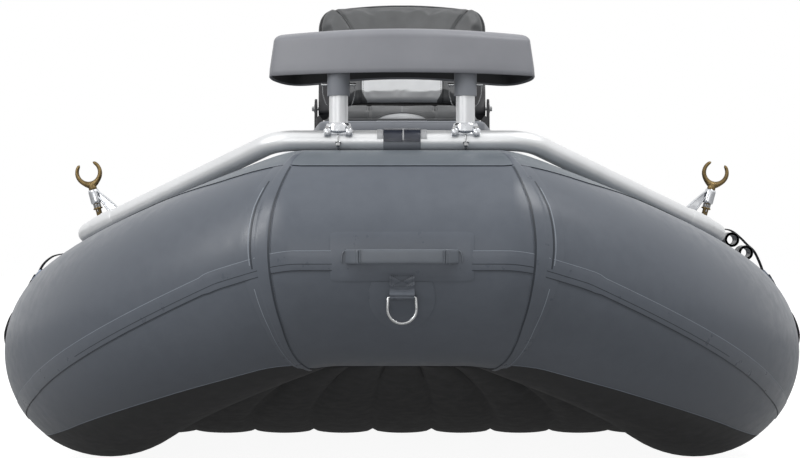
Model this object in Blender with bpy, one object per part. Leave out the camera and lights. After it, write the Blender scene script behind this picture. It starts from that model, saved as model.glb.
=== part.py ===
"""Fishing raft: inflatable hull, bent pipe frame, thigh brace, two swivel seats and oar gear.

Metres, +Z up.  The bow points to -Y, port is +X.  The origin is on the ground under the
middle of the hull.  A distance called "back" is measured from the front face of the bow tube.
"""
from math import acos, cos, pi, radians, sin, sqrt, tan

import bmesh
import bpy
from mathutils import Matrix, Vector

# Clearances
GAP = 0.0003                      # between touching pieces
SLIP = 0.0004                     # round a pipe in its socket

# Hull
HULL_LENGTH = 3.96
HULL_WIDTH = 1.862
SIDE_TUBE_RADIUS = 0.2445
SIDE_X = HULL_WIDTH / 2 - SIDE_TUBE_RADIUS    # of the side tube's axis
BOW_TUBE_RADIUS = 0.2155
BOW_AXIS_HEIGHT = 0.468
BOW_HALF_STRAIGHT = 0.2676 * SIDE_X    # from the middle to the mitre
QUARTER_BEND_X = 0.714 * SIDE_X        # middle bend of the quarter tube
QUARTER_BEND_BACK = 0.370
QUARTER_BEND_HEIGHT = 0.354
QUARTER_BEND_RADIUS = 0.222       # of the tube there
QUARTER_LENGTH = 0.774            # back to the bend into the side tube
MIDDLE_BEND_SHARE = 0.7245        # of the way back to the mitre that the middle bend takes
SIDE_BEND_SHARE = 0.92347         # of the run left behind it that the bend into the side tube takes
HULL_SIDES = 24
BEND_STEPS = 4
BAFFLE_OVERRUN = 0.020            # of a cutting solid past the seam between two chambers

# Floor
FLOOR_THICKNESS = 0.110
FLOOR_CLEARANCE = 0.020           # under the floor amidships
FLOOR_FRONT_BACK = 0.275
FLOOR_FRONT_HEIGHT = 0.250
FLOOR_RISE_BACK = 1.36            # where the floor stops rising

# Fabric fittings on the hull
FABRIC = 0.0016
RING_PATCH_RADIUS = 0.064
RING_WIRE = 0.006
RING_WIDTH = 0.061
RING_DROP = 0.050
RING_WEBBING = 0.048
HANDLE_HEIGHT_ON_BOW = 0.472
RING_HEIGHT_ON_BOW = HANDLE_HEIGHT_ON_BOW - 0.077
PATCH_REACH = 0.040               # behind a patch's farthest edge, for its cutting solid
HANDLE_PATCH_WIDTH = 0.274
HANDLE_PATCH_HEIGHT = 0.095
HANDLE_GRIP_LENGTH = 0.166
HANDLE_GRIP_HEIGHT = 0.028
HANDLE_GRIP_THICKNESS = 0.007
HANDLE_FINGER_GAP = 0.022
HANDLE_BEND_RADIUS = 0.020
VALVE_RADIUS = 0.032
VALVE_FLANGE = 0.006
VALVE_SUNK = 0.010                # of the flange's disc below the tube's surface
VALVE_CAP_RADIUS = 0.023
VALVE_CAP_HEIGHT = 0.012

# Frame
PIPE = 0.042                      # outer diameter
PIPE_WALL = 0.003
PIPE_SIDES = 12
BAR_BACK = 0.235                  # of the crossbar over the bow tube
BAR_BEND_X = 0.3705 * SIDE_X
BAR_BEND_RADIUS = 0.088
RAIL_OFFSET = 0.029               # outboard of the side tube's crown
RAIL_LIFT = 0.012                 # over the side tube's crown
CORNER_BACK = 0.681
CORNER_RADIUS = 0.13
JOIN_SHARE = 0.81                 # of the slant, where the crossbar meets the rail's bent end
INSERT_LENGTH = 0.13
INSERT_WALL = 0.004
FITTING_WALL = 0.006
FITTING_LENGTH = 0.046
SOCKET_DEPTH = 0.050
FRONT_SEAT_BACK = 1.02            # swivel axis of the front seat
ROWER_SEAT_BACK = 1.98            # swivel axis of the rower's seat
SEAT_BAR_SPACING = 0.20
FOOT_BAR_BACK = 1.40
WRAP_WIDTH = 0.075
WRAP_WALL = 0.0022

# Thigh brace
POST_X = 0.128
POST = 0.038
POST_WALL = 0.003
SLEEVE_WALL = 0.0035
SLEEVE_DROP = 0.0435              # below the brace's rim
CLAMP_WALL = 0.006
CLAMP_HEIGHT = 0.014
CLAMP_LENGTH = 0.040
CLAMP_BOLT = 0.008
CLAMP_BOLT_SUNK = 0.0018          # of a bolt's head into the clamp's end
BRACE_RIM_HEIGHT = 0.8385
BRACE_DEPTH = 0.0905
BRACE_WALL = 0.004
BRACE_HALF_WIDTH = 0.2765
BRACE_FRONT_BACK = 0.178          # front edge at the middle
BRACE_SIDE_BACK = 0.265           # where the front edge meets the end
BRACE_FRONT_SHARE = 0.93          # of the half width that the front curve spans
BRACE_CORNER = 0.010              # rounding at its corners
BRACE_HORN_BACK = 0.500           # rear tips of the crescent
BRACE_HORN_INNER_X = 0.196
BRACE_WAIST_BACK = 0.330          # rear edge at the middle
BRACE_DRAFT = 0.006
BRACE_ROUND = 0.010
PIN = 0.0065
PIN_BELOW_RIM = 0.020
BAIL_WIRE = 0.002
BAIL_DROP = 0.042

# Seats
SEAT_PLATE_THICKNESS = 0.006
SEAT_PLATE_WIDTH = 0.300
SEAT_PLATE_LENGTH = 0.320
SWIVEL_RADIUS = 0.085
SWIVEL_HEIGHT = 0.011
SEAT_WIDTH = 0.460
SEAT_DEPTH = 0.430
SEAT_BASE_THICKNESS = 0.030
SEAT_CORNER = 0.035
CUSHION_THICKNESS = 0.036
CUSHION_WIDTH = 0.410
CUSHION_DEPTH = 0.325
CUSHION_FRONT_MARGIN = 0.022
SEAT_BACK_WIDTH = SEAT_WIDTH - 0.033
SEAT_BACK_HEIGHT = 0.292
SEAT_BACK_PAD = 0.052
SEAT_BACK_SHELL = 0.010
SEAT_BACK_CORNER = 0.060
BACK_FOOT_SHARE = 0.97            # width of its lower half to its upper half
SEAT_BACK_LEAN = radians(12)
SEAT_HINGE_FROM_AXIS = 0.170      # behind the swivel axis
SEAT_HINGE_ABOVE_CUSHION = 0.020
SEAT_HINGE_AHEAD = 0.010          # pad's face ahead of the hinge
BRACKET_THICKNESS = 0.006
BRACKET_LENGTH = 0.060
BRACKET_BOSS_RADIUS = 0.025
EAR_WIDTH = 0.018
EAR_RADIUS = 0.016
EAR_FROM_SIDE = 0.012             # between an ear and the side of the seat back
EAR_TO_PIN_END = 0.003
PAD_ABOVE_EAR = 0.006
HINGE_PIN = 0.008

# Oar gear
OAR_STAND_BACK = 1.52
OAR_STAND_LEAN = radians(15)
LOCK_FROM_RAIL = 0.130            # ring centre outboard of the rail
LOCK_HEIGHT = 0.695
LOCK_BORE_RADIUS = 0.0255
LOCK_THICK = 0.0062               # half thickness at the bottom
LOCK_THIN = 0.0040                # half thickness at the tips
LOCK_DEPTH_SHARE = 1.4            # fore-and-aft depth of its horns to their thickness
LOCK_MOUTH = radians(37.5)        # half angle of the opening
SHOULDER_LENGTH = 0.011           # between the horns and the socket
SHOULDER_STEP = 0.003             # proud of the shank
SHANK = 0.016
SHANK_LENGTH = 0.092
SOCKET_LENGTH = 0.038
SOCKET_WALL = 0.006
ARM_WIDTH = 0.030
ARM_THICKNESS = 0.018
ARM_ROOT_OUT = 0.004              # outboard of the rail's axis
ARM_KNEE_OUT = 0.030
ARM_KNEE_LIFT = 0.004             # over the middle of the socket
ARM_BEND_RADIUS = 0.030
KEEPER_RADIUS = 0.0125            # of the ring that keeps the shank in its socket
KEEPER_THICKNESS = 0.004
KEEPER_BELOW_SOCKET = 0.012

# Straps and side rings
STRAP_BACK = 0.970
STRAP_WIDTH = 0.025
STRAP = 0.0032
STRAP_FOOT_SPACE = 0.007          # between the strap's foot and the ring or patch below it
BUCKLE_ANGLE = radians(44)        # above level, round the side tube
BUCKLE_LENGTH = 0.042
BUCKLE_WIDTH = 0.036
BUCKLE_HEIGHT = 0.010
SIDE_RING_ANGLE = radians(10)
SIDE_RING_WIRE = 0.005
SIDE_RING_WIDTH = 0.050
SIDE_RING_REACH = 0.040
SIDE_PATCH_RADIUS = 0.050
STRAP_OVERRUN = 0.100             # of the tube's cutting solid past the end chamber

# Rod rings, on the port strap
ROD_RING_LENGTH = 0.060
ROD_RING_WALL = 0.006
ROD_RING_BORE = 0.0115            # radius
ROD_RING_BASE = 0.060             # depth of their base below the rings' axes
ROD_RINGS = ((radians(69), 0.022), (radians(60), 0.008))    # angle round the tube, height off it

# Places that follow from the sizes above
BOW_Y = -HULL_LENGTH / 2
CROWN = 2 * SIDE_TUBE_RADIUS
BOW_TOP = BOW_AXIS_HEIGHT + BOW_TUBE_RADIUS
RAIL_X = SIDE_X + RAIL_OFFSET
RAIL_Z = CROWN + RAIL_LIFT + PIPE / 2
BAR_Z = BOW_TOP + PIPE / 2 + GAP
MIRROR_X = Matrix.Scale(-1, 4, (1, 0, 0))
MIRROR_Y = Matrix.Scale(-1, 4, (0, 1, 0))
SIDES = {"port": Matrix.Identity(4), "starboard": MIRROR_X}


def at(x, back, z):
    """A point given by its distance back from the bow."""
    return Vector((x, BOW_Y + back, z))


# Scene, materials and objects

def clear_scene():
    for item in list(bpy.data.objects):
        bpy.data.objects.remove(item)


def material(name, colour, roughness, metallic=0.0):
    found = bpy.data.materials.get(name)
    if found:
        return found
    made = bpy.data.materials.new(name)
    made.use_nodes = True
    shader = made.node_tree.nodes["Principled BSDF"]
    shader.inputs["Base Color"].default_value = (*colour, 1.0)
    shader.inputs["Roughness"].default_value = roughness
    shader.inputs["Metallic"].default_value = metallic
    made.diffuse_color = (*colour, 1.0)
    return made


def finish_of(kind):
    """The material of one kind of piece."""
    kinds = {
        "pvc": ((0.13, 0.15, 0.17), 0.35, 0.0),
        "floor": ((0.02, 0.02, 0.021), 0.6, 0.0),
        "pipe": ((0.62, 0.63, 0.64), 0.35, 1.0),
        "cast": ((0.75, 0.76, 0.78), 0.3, 1.0),
        "steel": ((0.55, 0.56, 0.58), 0.25, 1.0),
        "bronze": ((0.27, 0.18, 0.08), 0.45, 1.0),
        "moulded": ((0.21, 0.22, 0.24), 0.5, 0.0),
        "black": ((0.015, 0.015, 0.016), 0.5, 0.0),
        "vinyl": ((0.06, 0.06, 0.062), 0.5, 0.0),
        "webbing": ((0.02, 0.02, 0.022), 0.8, 0.0),
    }
    return material(kind, *kinds[kind])


def make(name, mesh, kind, origin=None, smooth_angle=35):
    """An object from a bmesh in world coordinates, with its origin where it turns."""
    bmesh.ops.recalc_face_normals(mesh, faces=mesh.faces)
    data = bpy.data.meshes.new(name)
    mesh.to_mesh(data)
    mesh.free()
    return place(name, data, kind, origin, smooth_angle)


def place(name, data, kind, origin=None, smooth_angle=35):
    data.materials.clear()
    own = finish_of(kind).copy()
    own.name = name
    data.materials.append(own)
    data.shade_smooth()
    data.set_sharp_from_angle(angle=radians(smooth_angle))
    obj = bpy.data.objects.new(name, data)
    if origin is not None:
        data.transform(Matrix.Translation(-Vector(origin)))
        obj.location = origin
    bpy.context.scene.collection.objects.link(obj)
    return obj


def turned_copy(mesh, matrix):
    """A copy of a bmesh moved by a matrix, faces still outwards."""
    result = mesh.copy()
    bmesh.ops.transform(result, matrix=matrix, verts=result.verts)
    if matrix.determinant() < 0:
        bmesh.ops.reverse_faces(result, faces=result.faces)
    return result


def turned_copy_free(mesh, matrix):
    """The mesh itself moved by a matrix."""
    result = turned_copy(mesh, matrix)
    mesh.free()
    return result


def boolean(base, operation, *tools):
    """Base united with, cut by or limited to each tool in turn."""
    bmesh.ops.recalc_face_normals(base, faces=base.faces)
    data = bpy.data.meshes.new("base")
    base.to_mesh(data)
    base.free()
    subject = bpy.data.objects.new("base", data)
    bpy.context.scene.collection.objects.link(subject)
    helpers = []
    for tool in tools:
        bmesh.ops.recalc_face_normals(tool, faces=tool.faces)
        tool_data = bpy.data.meshes.new("tool")
        tool.to_mesh(tool_data)
        tool.free()
        helper = bpy.data.objects.new("tool", tool_data)
        bpy.context.scene.collection.objects.link(helper)
        modifier = subject.modifiers.new(operation, "BOOLEAN")
        modifier.operation = operation
        modifier.object = helper
        helpers.append(helper)
    evaluated = subject.evaluated_get(bpy.context.evaluated_depsgraph_get())
    result_data = bpy.data.meshes.new_from_object(evaluated)
    result = bmesh.new()
    result.from_mesh(result_data)
    for item in [subject, *helpers]:
        leftover = item.data
        bpy.data.objects.remove(item)
        bpy.data.meshes.remove(leftover)
    bpy.data.meshes.remove(result_data)
    bmesh.ops.remove_doubles(result, verts=result.verts, dist=0.00001)
    bmesh.ops.dissolve_degenerate(result, edges=result.edges, dist=0.00001)
    return result


# Shapes

def frame_about(direction, up=Vector((0, 0, 1))):
    """Two unit vectors across a direction, the second as near to up as it can be."""
    t = direction.normalized()
    second = up - up.dot(t) * t
    if second.length < 0.001:
        second = Vector((0, 1, 0)) - t.y * t
    second.normalize()
    first = second.cross(t)
    return first, second


def ring_points(centre, direction, radius, sides, plane=None, flat_down=True, squash=1.0):
    """A ring of points round a centre.  With a plane normal the ring is a mitre cut."""
    t = direction.normalized()
    first, second = frame_about(t)
    reach = radius / cos(pi / sides) if flat_down else radius
    points = []
    for k in range(sides):
        angle = 2 * pi * (k + (0.5 if flat_down else 0.0)) / sides
        offset = reach * (squash * cos(angle) * first + sin(angle) * second)
        if plane is not None:
            offset = offset - t * (offset.dot(plane) / t.dot(plane))
        points.append(centre + offset)
    return points


def skin(rings, closed=False, split=False):
    """A solid through rings of equal count, with flat ends unless it is a loop.

    Split faces keep two skins of the same rings, one grown by a clearance, evenly apart.
    """
    mesh = bmesh.new()
    rows = [[mesh.verts.new(p) for p in ring] for ring in rings]
    count = len(rows[0])
    pairs = list(zip(rows, rows[1:]))
    if closed:
        pairs.append((rows[-1], rows[0]))
    for low, high in pairs:
        for k in range(count):
            n = (k + 1) % count
            if split:
                mesh.faces.new((low[k], low[n], high[n]))
                mesh.faces.new((low[k], high[n], high[k]))
            else:
                mesh.faces.new((low[k], low[n], high[n], high[k]))
    if not closed:
        mesh.faces.new(list(reversed(rows[0])))
        mesh.faces.new(rows[-1])
    return mesh


def hollow_skin(outer, inner):
    """A pipe through matching outer and inner rings, open at both ends."""
    mesh = bmesh.new()
    out = [[mesh.verts.new(p) for p in ring] for ring in outer]
    bore = [[mesh.verts.new(p) for p in ring] for ring in inner]
    count = len(out[0])
    for low, high in zip(out, out[1:]):
        for k in range(count):
            n = (k + 1) % count
            mesh.faces.new((low[k], low[n], high[n], high[k]))
    for low, high in zip(bore, bore[1:]):
        for k in range(count):
            n = (k + 1) % count
            mesh.faces.new((high[k], high[n], low[n], low[k]))
    for k in range(count):
        n = (k + 1) % count
        mesh.faces.new((out[0][n], out[0][k], bore[0][k], bore[0][n]))
        mesh.faces.new((out[-1][k], out[-1][n], bore[-1][n], bore[-1][k]))
    return mesh


def rounded_path(corners, radius, step=radians(22)):
    """A path of straight runs with a circular arc of one radius at each inner corner."""
    path = [corners[0]]
    for before, corner, after in zip(corners, corners[1:], corners[2:]):
        to_before = (before - corner).normalized()
        to_after = (after - corner).normalized()
        turn = pi - acos(max(-1.0, min(1.0, to_before.dot(to_after))))
        if turn < radians(1):
            path.append(corner)
            continue
        ease = radius * tan(turn / 2)
        start = corner + to_before * ease
        middle = (to_before + to_after).normalized()
        centre = corner + middle * (radius / cos(turn / 2))
        first = (start - centre).normalized()
        second = -to_before
        steps = max(2, round(turn / step))
        for k in range(steps + 1):
            angle = turn * k / steps
            path.append(centre + radius * (cos(angle) * first + sin(angle) * second))
    path.append(corners[-1])
    return path


def directions(path):
    """The direction of a path at each point."""
    result = []
    for k in range(len(path)):
        before = path[max(k - 1, 0)]
        after = path[min(k + 1, len(path) - 1)]
        result.append((after - before).normalized())
    return result


def rings_along(path, radius, sides, flat_down=True):
    """Rings of one radius along a path, each in the plane across it."""
    result = []
    for point, direction in zip(path, directions(path)):
        result.append(ring_points(point, direction, radius, sides, flat_down=flat_down))
    return result


def pipe(path, diameter, wall, sides=PIPE_SIDES):
    outer = rings_along(path, diameter / 2, sides)
    inner = rings_along(path, diameter / 2 - wall, sides)
    return hollow_skin(outer, inner)


def rod(start, end, radius, sides=PIPE_SIDES, flat_down=True):
    return skin(rings_along([Vector(start), Vector(end)], radius, sides, flat_down))


def wire(path, diameter, sides=6, closed=False):
    """A round wire along a path; a loop when closed."""
    if not closed:
        return skin(rings_along(path, diameter / 2, sides))
    rings = []
    count = len(path)
    normal = (path[1] - path[0]).cross(path[count // 2] - path[0]).normalized()
    for k in range(count):
        direction = (path[(k + 1) % count] - path[k - 1]).normalized()
        across = normal.cross(direction).normalized()
        ring = []
        for j in range(sides):
            angle = 2 * pi * j / sides
            ring.append(path[k] + diameter / 2 * (cos(angle) * across + sin(angle) * normal))
        rings.append(ring)
    return skin(rings, closed=True)


def slab(outline, low, high):
    """A flat solid on an outline of (x, y) points."""
    return skin([[Vector((x, y, low)) for x, y in outline], [Vector((x, y, high)) for x, y in outline]])


def box(centre, size):
    mesh = bmesh.new()
    bmesh.ops.create_cube(mesh, size=1.0)
    bmesh.ops.transform(
        mesh, matrix=Matrix.Translation(centre) @ Matrix.Diagonal((*size, 1)), verts=mesh.verts
    )
    return mesh


def rounded_outline(width, depth, radius, centre=(0.0, 0.0), steps=4):
    """A rectangle with round corners, anticlockwise, as (x, y) points."""
    points = []
    for quarter, (sx, sy) in enumerate(((1, 1), (-1, 1), (-1, -1), (1, -1))):
        cx = centre[0] + sx * (width / 2 - radius)
        cy = centre[1] + sy * (depth / 2 - radius)
        for k in range(steps + 1):
            angle = pi / 2 * (quarter + k / steps)
            points.append((cx + radius * cos(angle), cy + radius * sin(angle)))
    return points


# Hull

def eased(corner, before, after, ease):
    """The ends of a bend's tangents at a corner."""
    start = corner + (before - corner).normalized() * ease
    end = corner + (after - corner).normalized() * ease
    return start, end


def quarter_stations():
    """Centre, radius and direction of the port bow quarter tube, mitre to side tube."""
    mitre = at(BOW_HALF_STRAIGHT, BOW_TUBE_RADIUS, BOW_AXIS_HEIGHT)
    middle = at(QUARTER_BEND_X, QUARTER_BEND_BACK, QUARTER_BEND_HEIGHT)
    side = at(SIDE_X, QUARTER_LENGTH, SIDE_TUBE_RADIUS)
    aft = side + Vector((0, 1, 0))
    middle_ease = MIDDLE_BEND_SHARE * (middle - mitre).length
    side_ease = SIDE_BEND_SHARE * ((side - middle).length - middle_ease)
    bends = (
        (middle, mitre, side, middle_ease, BOW_TUBE_RADIUS, QUARTER_BEND_RADIUS, SIDE_TUBE_RADIUS),
        (side, middle, aft, side_ease, QUARTER_BEND_RADIUS, SIDE_TUBE_RADIUS, SIDE_TUBE_RADIUS),
    )
    stations = [(mitre, BOW_TUBE_RADIUS, (middle - mitre).normalized())]
    for corner, before, after, ease, radius_before, radius_here, radius_after in bends:
        start, end = eased(corner, before, after, ease)
        start_share = ease / (corner - before).length
        end_share = ease / (after - corner).length
        start_radius = radius_here + (radius_before - radius_here) * start_share
        end_radius = radius_here + (radius_after - radius_here) * end_share
        for k in range(BEND_STEPS + 1):
            t = k / BEND_STEPS
            centre = (1 - t) ** 2 * start + 2 * t * (1 - t) * corner + t ** 2 * end
            radius = (1 - t) ** 2 * start_radius + 2 * t * (1 - t) * radius_here + t ** 2 * end_radius
            direction = ((1 - t) * (corner - start) + t * (end - corner)).normalized()
            stations.append((centre, radius, direction))
    return stations


def mitre_normal():
    """Normal of the plane where the bow tube meets the port quarter tube."""
    return (Vector((1, 0, 0)) + quarter_stations()[0][2]).normalized()


def quarter_rings(clearance=0.0):
    stations = quarter_stations()
    mitre = stations[0][0]
    rings = [ring_points(mitre, Vector((1, 0, 0)), BOW_TUBE_RADIUS + clearance, HULL_SIDES, mitre_normal())]
    for centre, radius, direction in stations[1:]:
        rings.append(ring_points(centre, direction, radius + clearance, HULL_SIDES))
    return rings


def matched(previous, ring):
    """The ring turned, or read backwards, so that its points follow the ring before it."""
    best = None
    for candidate in (ring, ring[::-1]):
        for shift in range(len(ring)):
            turned = candidate[shift:] + candidate[:shift]
            far = sum((turned[k] - previous[k]).length for k in range(0, len(ring), 4))
            if best is None or far < best[0]:
                best = (far, turned)
    return best[1]


def shifted(ring, offset):
    return [p + offset for p in ring]


def end_chamber(clearance=0.0, overrun=0.0):
    """The bow's air chamber: both quarter tubes and the straight tube between their mitres."""
    port = quarter_rings(clearance)
    if overrun:
        port.append(shifted(port[-1], Vector((0, overrun, 0))))
    rings = [[MIRROR_X @ p for p in ring] for ring in port[::-1]] + port
    aligned = [rings[0]]
    for ring in rings[1:]:
        aligned.append(matched(aligned[-1], ring))
    return skin(aligned, split=True)


def side_chamber(clearance=0.0):
    """The straight port tube, between the baffles at its ends."""
    front = shifted(quarter_rings(clearance)[-1], Vector((0, GAP, 0)))
    rear = [MIRROR_Y @ p for p in front]
    return skin([front, matched(front, rear)])


def hull_cutters(clearance):
    """The four chambers grown by a clearance, to trim what touches them."""
    end = end_chamber(clearance, BAFFLE_OVERRUN)
    side = side_chamber(clearance)
    return [turned_copy(end, MIRROR_Y), end, turned_copy(side, MIRROR_X), side]


def valve_places():
    """Foot point on the tube's surface and outward direction of each chamber's valve."""
    tilt = radians(45)
    bow_out = Vector((0, cos(tilt), sin(tilt)))
    side_out = Vector((-cos(tilt), 0, sin(tilt)))
    bow = at(0, BOW_TUBE_RADIUS, BOW_AXIS_HEIGHT) + BOW_TUBE_RADIUS * bow_out
    side = Vector((SIDE_X, 0.0, SIDE_TUBE_RADIUS)) + SIDE_TUBE_RADIUS * side_out
    return {
        "bow": (bow, bow_out),
        "stern": (MIRROR_Y @ bow, MIRROR_Y @ bow_out),
        "port": (side, side_out),
        "starboard": (MIRROR_X @ side, MIRROR_X @ side_out),
    }


def build_hull():
    """Four air chambers, each with its flanged valve, and the caps that screw on the valves."""
    shapes = {
        "bow": (end_chamber, Matrix.Identity(4)),
        "stern": (end_chamber, MIRROR_Y),
        "port": (side_chamber, Matrix.Identity(4)),
        "starboard": (side_chamber, MIRROR_X),
    }
    for name, (shape, matrix) in shapes.items():
        foot, out = valve_places()[name]
        flange = rod(foot - VALVE_SUNK * out, foot + VALVE_FLANGE * out, VALVE_RADIUS, 20)
        tube = turned_copy_free(shape(), matrix)
        make(f"{name}_chamber", boolean(tube, "UNION", flange), "pvc", smooth_angle=30)
        seat = foot + (VALVE_FLANGE + GAP) * out
        cap = rod(seat, seat + VALVE_CAP_HEIGHT * out, VALVE_CAP_RADIUS, 20)
        make(f"valve_cap_{name}", cap, "black", origin=seat)


def axis_x_at(back):
    """How far from the middle the tube's axis lies at a distance back from the bow."""
    stations = quarter_stations()
    y = BOW_Y + back
    before = stations[0][0]
    if y <= before.y:
        return before.x
    for centre, _, _ in stations[1:]:
        if y <= centre.y:
            share = (y - before.y) / (centre.y - before.y)
            return before.x + (centre.x - before.x) * share
        before = centre
    return SIDE_X


def floor_station(back, low):
    """A cross-section of the floor, as wide as the tube's axis is there."""
    half = axis_x_at(back) - (BOW_TUBE_RADIUS - FLOOR_THICKNESS) * (1 if back <= FLOOR_FRONT_BACK else 0)
    high = low + FLOOR_THICKNESS
    y = BOW_Y + back
    return [Vector((-half, y, low)), Vector((half, y, low)), Vector((half, y, high)), Vector((-half, y, high))]


def floor_height(back):
    """Height of the floor's underside: a smooth rise from the middle to the bow."""
    if back >= FLOOR_RISE_BACK:
        return FLOOR_CLEARANCE
    share = (FLOOR_RISE_BACK - back) / (FLOOR_RISE_BACK - FLOOR_FRONT_BACK)
    return FLOOR_CLEARANCE + (FLOOR_FRONT_HEIGHT - FLOOR_CLEARANCE) * share ** 2


def build_floor():
    """The inflated floor, trimmed to the tubes that hold it."""
    steps = 8
    span = FLOOR_RISE_BACK - FLOOR_FRONT_BACK
    backs = [FLOOR_FRONT_BACK + span * k / steps for k in range(steps + 1)]
    front = [floor_station(back, floor_height(back)) for back in backs]
    rear = [[MIRROR_Y @ p for p in ring] for ring in front[::-1]]
    body = skin(front + rear)
    make("floor_chamber", boolean(body, "DIFFERENCE", *hull_cutters(GAP)), "floor")


# Fabric fittings on the hull

def bow_tube_solid(clearance, length):
    """A straight length of bow tube, grown by a clearance."""
    start = at(-length / 2, BOW_TUBE_RADIUS, BOW_AXIS_HEIGHT)
    end = at(length / 2, BOW_TUBE_RADIUS, BOW_AXIS_HEIGHT)
    return rod(start, end, BOW_TUBE_RADIUS + clearance, HULL_SIDES)


def bow_face_back(height):
    """How far back the face of the bow tube lies at a height."""
    up = height - BOW_AXIS_HEIGHT
    return BOW_TUBE_RADIUS - sqrt(BOW_TUBE_RADIUS ** 2 - up ** 2)


def bow_patch(outline, reach):
    """A fabric patch that follows the bow tube, cut to an outline of (x, z) points."""
    front = [Vector((x, BOW_Y - FABRIC - GAP, z)) for x, z in outline]
    rear = [Vector((x, BOW_Y + reach, z)) for x, z in outline]
    width = 2 * max(x for x, _ in outline) + FABRIC
    patch = boolean(skin([front, rear]), "INTERSECT", bow_tube_solid(GAP + FABRIC, width))
    return boolean(patch, "DIFFERENCE", bow_tube_solid(GAP, 2 * width))


def ring_patch_outline():
    """A circle cut off straight where the handle's patch begins."""
    sides = 24
    points = []
    for k in range(sides):
        angle = 2 * pi * k / sides
        z = RING_HEIGHT_ON_BOW + RING_PATCH_RADIUS * sin(angle)
        points.append((RING_PATCH_RADIUS * cos(angle), min(z, handle_patch_low() - GAP)))
    return points


def handle_patch_low():
    return HANDLE_HEIGHT_ON_BOW - HANDLE_PATCH_HEIGHT / 2


def bow_ring_axis():
    """Centre of the ring's straight bar, held off the bow by its webbing."""
    stand = GAP + FABRIC + RING_WIRE / 2 + SLIP
    return at(0, bow_face_back(RING_HEIGHT_ON_BOW) - stand - FABRIC, RING_HEIGHT_ON_BOW)


def build_bow_ring(end, matrix):
    """The towing ring, its webbing loop and the round patch, for one end of the hull."""
    axis = bow_ring_axis()
    half = RING_WIDTH / 2 - RING_WIRE / 2
    arc_centre = axis + Vector((0, 0, -(RING_DROP - half)))
    path = [axis + Vector((-half, 0, 0)), axis + Vector((half, 0, 0))]
    steps = 10
    path += [arc_centre + half * Vector((cos(pi * k / steps), 0, -sin(pi * k / steps))) for k in range(steps + 1)]
    ring = wire(path, RING_WIRE, closed=True)
    moved_axis = matrix @ axis
    make(f"{end}_d_ring", turned_copy(ring, matrix), "steel", origin=moved_axis)
    ring.free()
    hole = RING_WIRE / 2 + SLIP
    across = Vector((RING_WEBBING / 2, 0, 0))
    loop = rod(axis - across, axis + across, hole + FABRIC, 16)
    strap_top = handle_patch_low() - GAP
    strap = [(-RING_WEBBING / 2, RING_HEIGHT_ON_BOW), (RING_WEBBING / 2, RING_HEIGHT_ON_BOW),
             (RING_WEBBING / 2, strap_top), (-RING_WEBBING / 2, strap_top)]
    front = [Vector((x, BOW_Y - 2 * FABRIC - GAP, z)) for x, z in strap]
    rear = [Vector((x, BOW_Y + bow_face_back(RING_HEIGHT_ON_BOW) + PATCH_REACH, z)) for x, z in strap]
    band = boolean(skin([front, rear]), "INTERSECT", bow_tube_solid(GAP + 3 * FABRIC, 4 * RING_WEBBING))
    lowest = bow_face_back(RING_HEIGHT_ON_BOW - RING_PATCH_RADIUS)
    patch = bow_patch(ring_patch_outline(), lowest + PATCH_REACH)
    holder = boolean(band, "UNION", loop, patch)
    bore = rod(axis - 2 * across, axis + 2 * across, hole, 16)
    holder = boolean(holder, "DIFFERENCE", bore, bow_tube_solid(GAP, 8 * RING_WEBBING))
    make(f"{end}_ring_patch", turned_copy(holder, matrix), "pvc")
    holder.free()


def build_handle(end, matrix):
    """The carry handle: a patch with a flat grip that stands off it for the fingers."""
    height = HANDLE_HEIGHT_ON_BOW
    w = HANDLE_PATCH_WIDTH / 2
    h = HANDLE_PATCH_HEIGHT / 2
    reach = max(bow_face_back(height - h), bow_face_back(height + h)) + PATCH_REACH
    patch = bow_patch([(-w, height - h), (w, height - h), (w, height + h), (-w, height + h)], reach)
    tip = HANDLE_GRIP_LENGTH / 2
    foot = tip + HANDLE_FINGER_GAP
    stand = HANDLE_FINGER_GAP + HANDLE_GRIP_THICKNESS / 2
    sunk = GAP + FABRIC / 2
    face = bow_face_back(height)
    path = rounded_path([
        at(-foot, face - sunk, height), at(-tip, face - stand, height),
        at(tip, face - stand, height), at(foot, face - sunk, height),
    ], HANDLE_BEND_RADIUS, radians(20))
    rings = []
    for point, direction in zip(path, directions(path)):
        across = Vector((-direction.y, direction.x, 0)) * (HANDLE_GRIP_THICKNESS / 2)
        up = Vector((0, 0, HANDLE_GRIP_HEIGHT / 2))
        rings.append([point - across - up, point + across - up, point + across + up, point - across + up])
    handle = boolean(patch, "UNION", skin(rings))
    handle = boolean(handle, "DIFFERENCE", bow_tube_solid(GAP, 4 * w))
    make(f"{end}_handle", turned_copy(handle, matrix), "black")
    handle.free()


# Frame

def slant_start():
    return at(BAR_BEND_X, BAR_BACK, BAR_Z)


def rail_corner():
    return at(RAIL_X, CORNER_BACK, RAIL_Z)


def slant_direction():
    return (rail_corner() - slant_start()).normalized()


def join_point():
    """Where the crossbar butts against the bent end of the rail."""
    return slant_start().lerp(rail_corner(), JOIN_SHARE)


def end_crossbar():
    end = join_point() - slant_direction() * GAP / 2
    corners = [MIRROR_X @ end, MIRROR_X @ slant_start(), slant_start(), end]
    return pipe(rounded_path(corners, BAR_BEND_RADIUS), PIPE, PIPE_WALL)


def side_rail():
    """A rail with both bent ends, each with the spigot that splices it to a crossbar."""
    start = join_point() + slant_direction() * GAP / 2
    corners = [start, rail_corner(), MIRROR_Y @ rail_corner(), MIRROR_Y @ start]
    rail = pipe(rounded_path(corners, CORNER_RADIUS), PIPE, PIPE_WALL)
    return boolean(rail, "UNION", spigot(), turned_copy_free(spigot(), MIRROR_Y))


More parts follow.
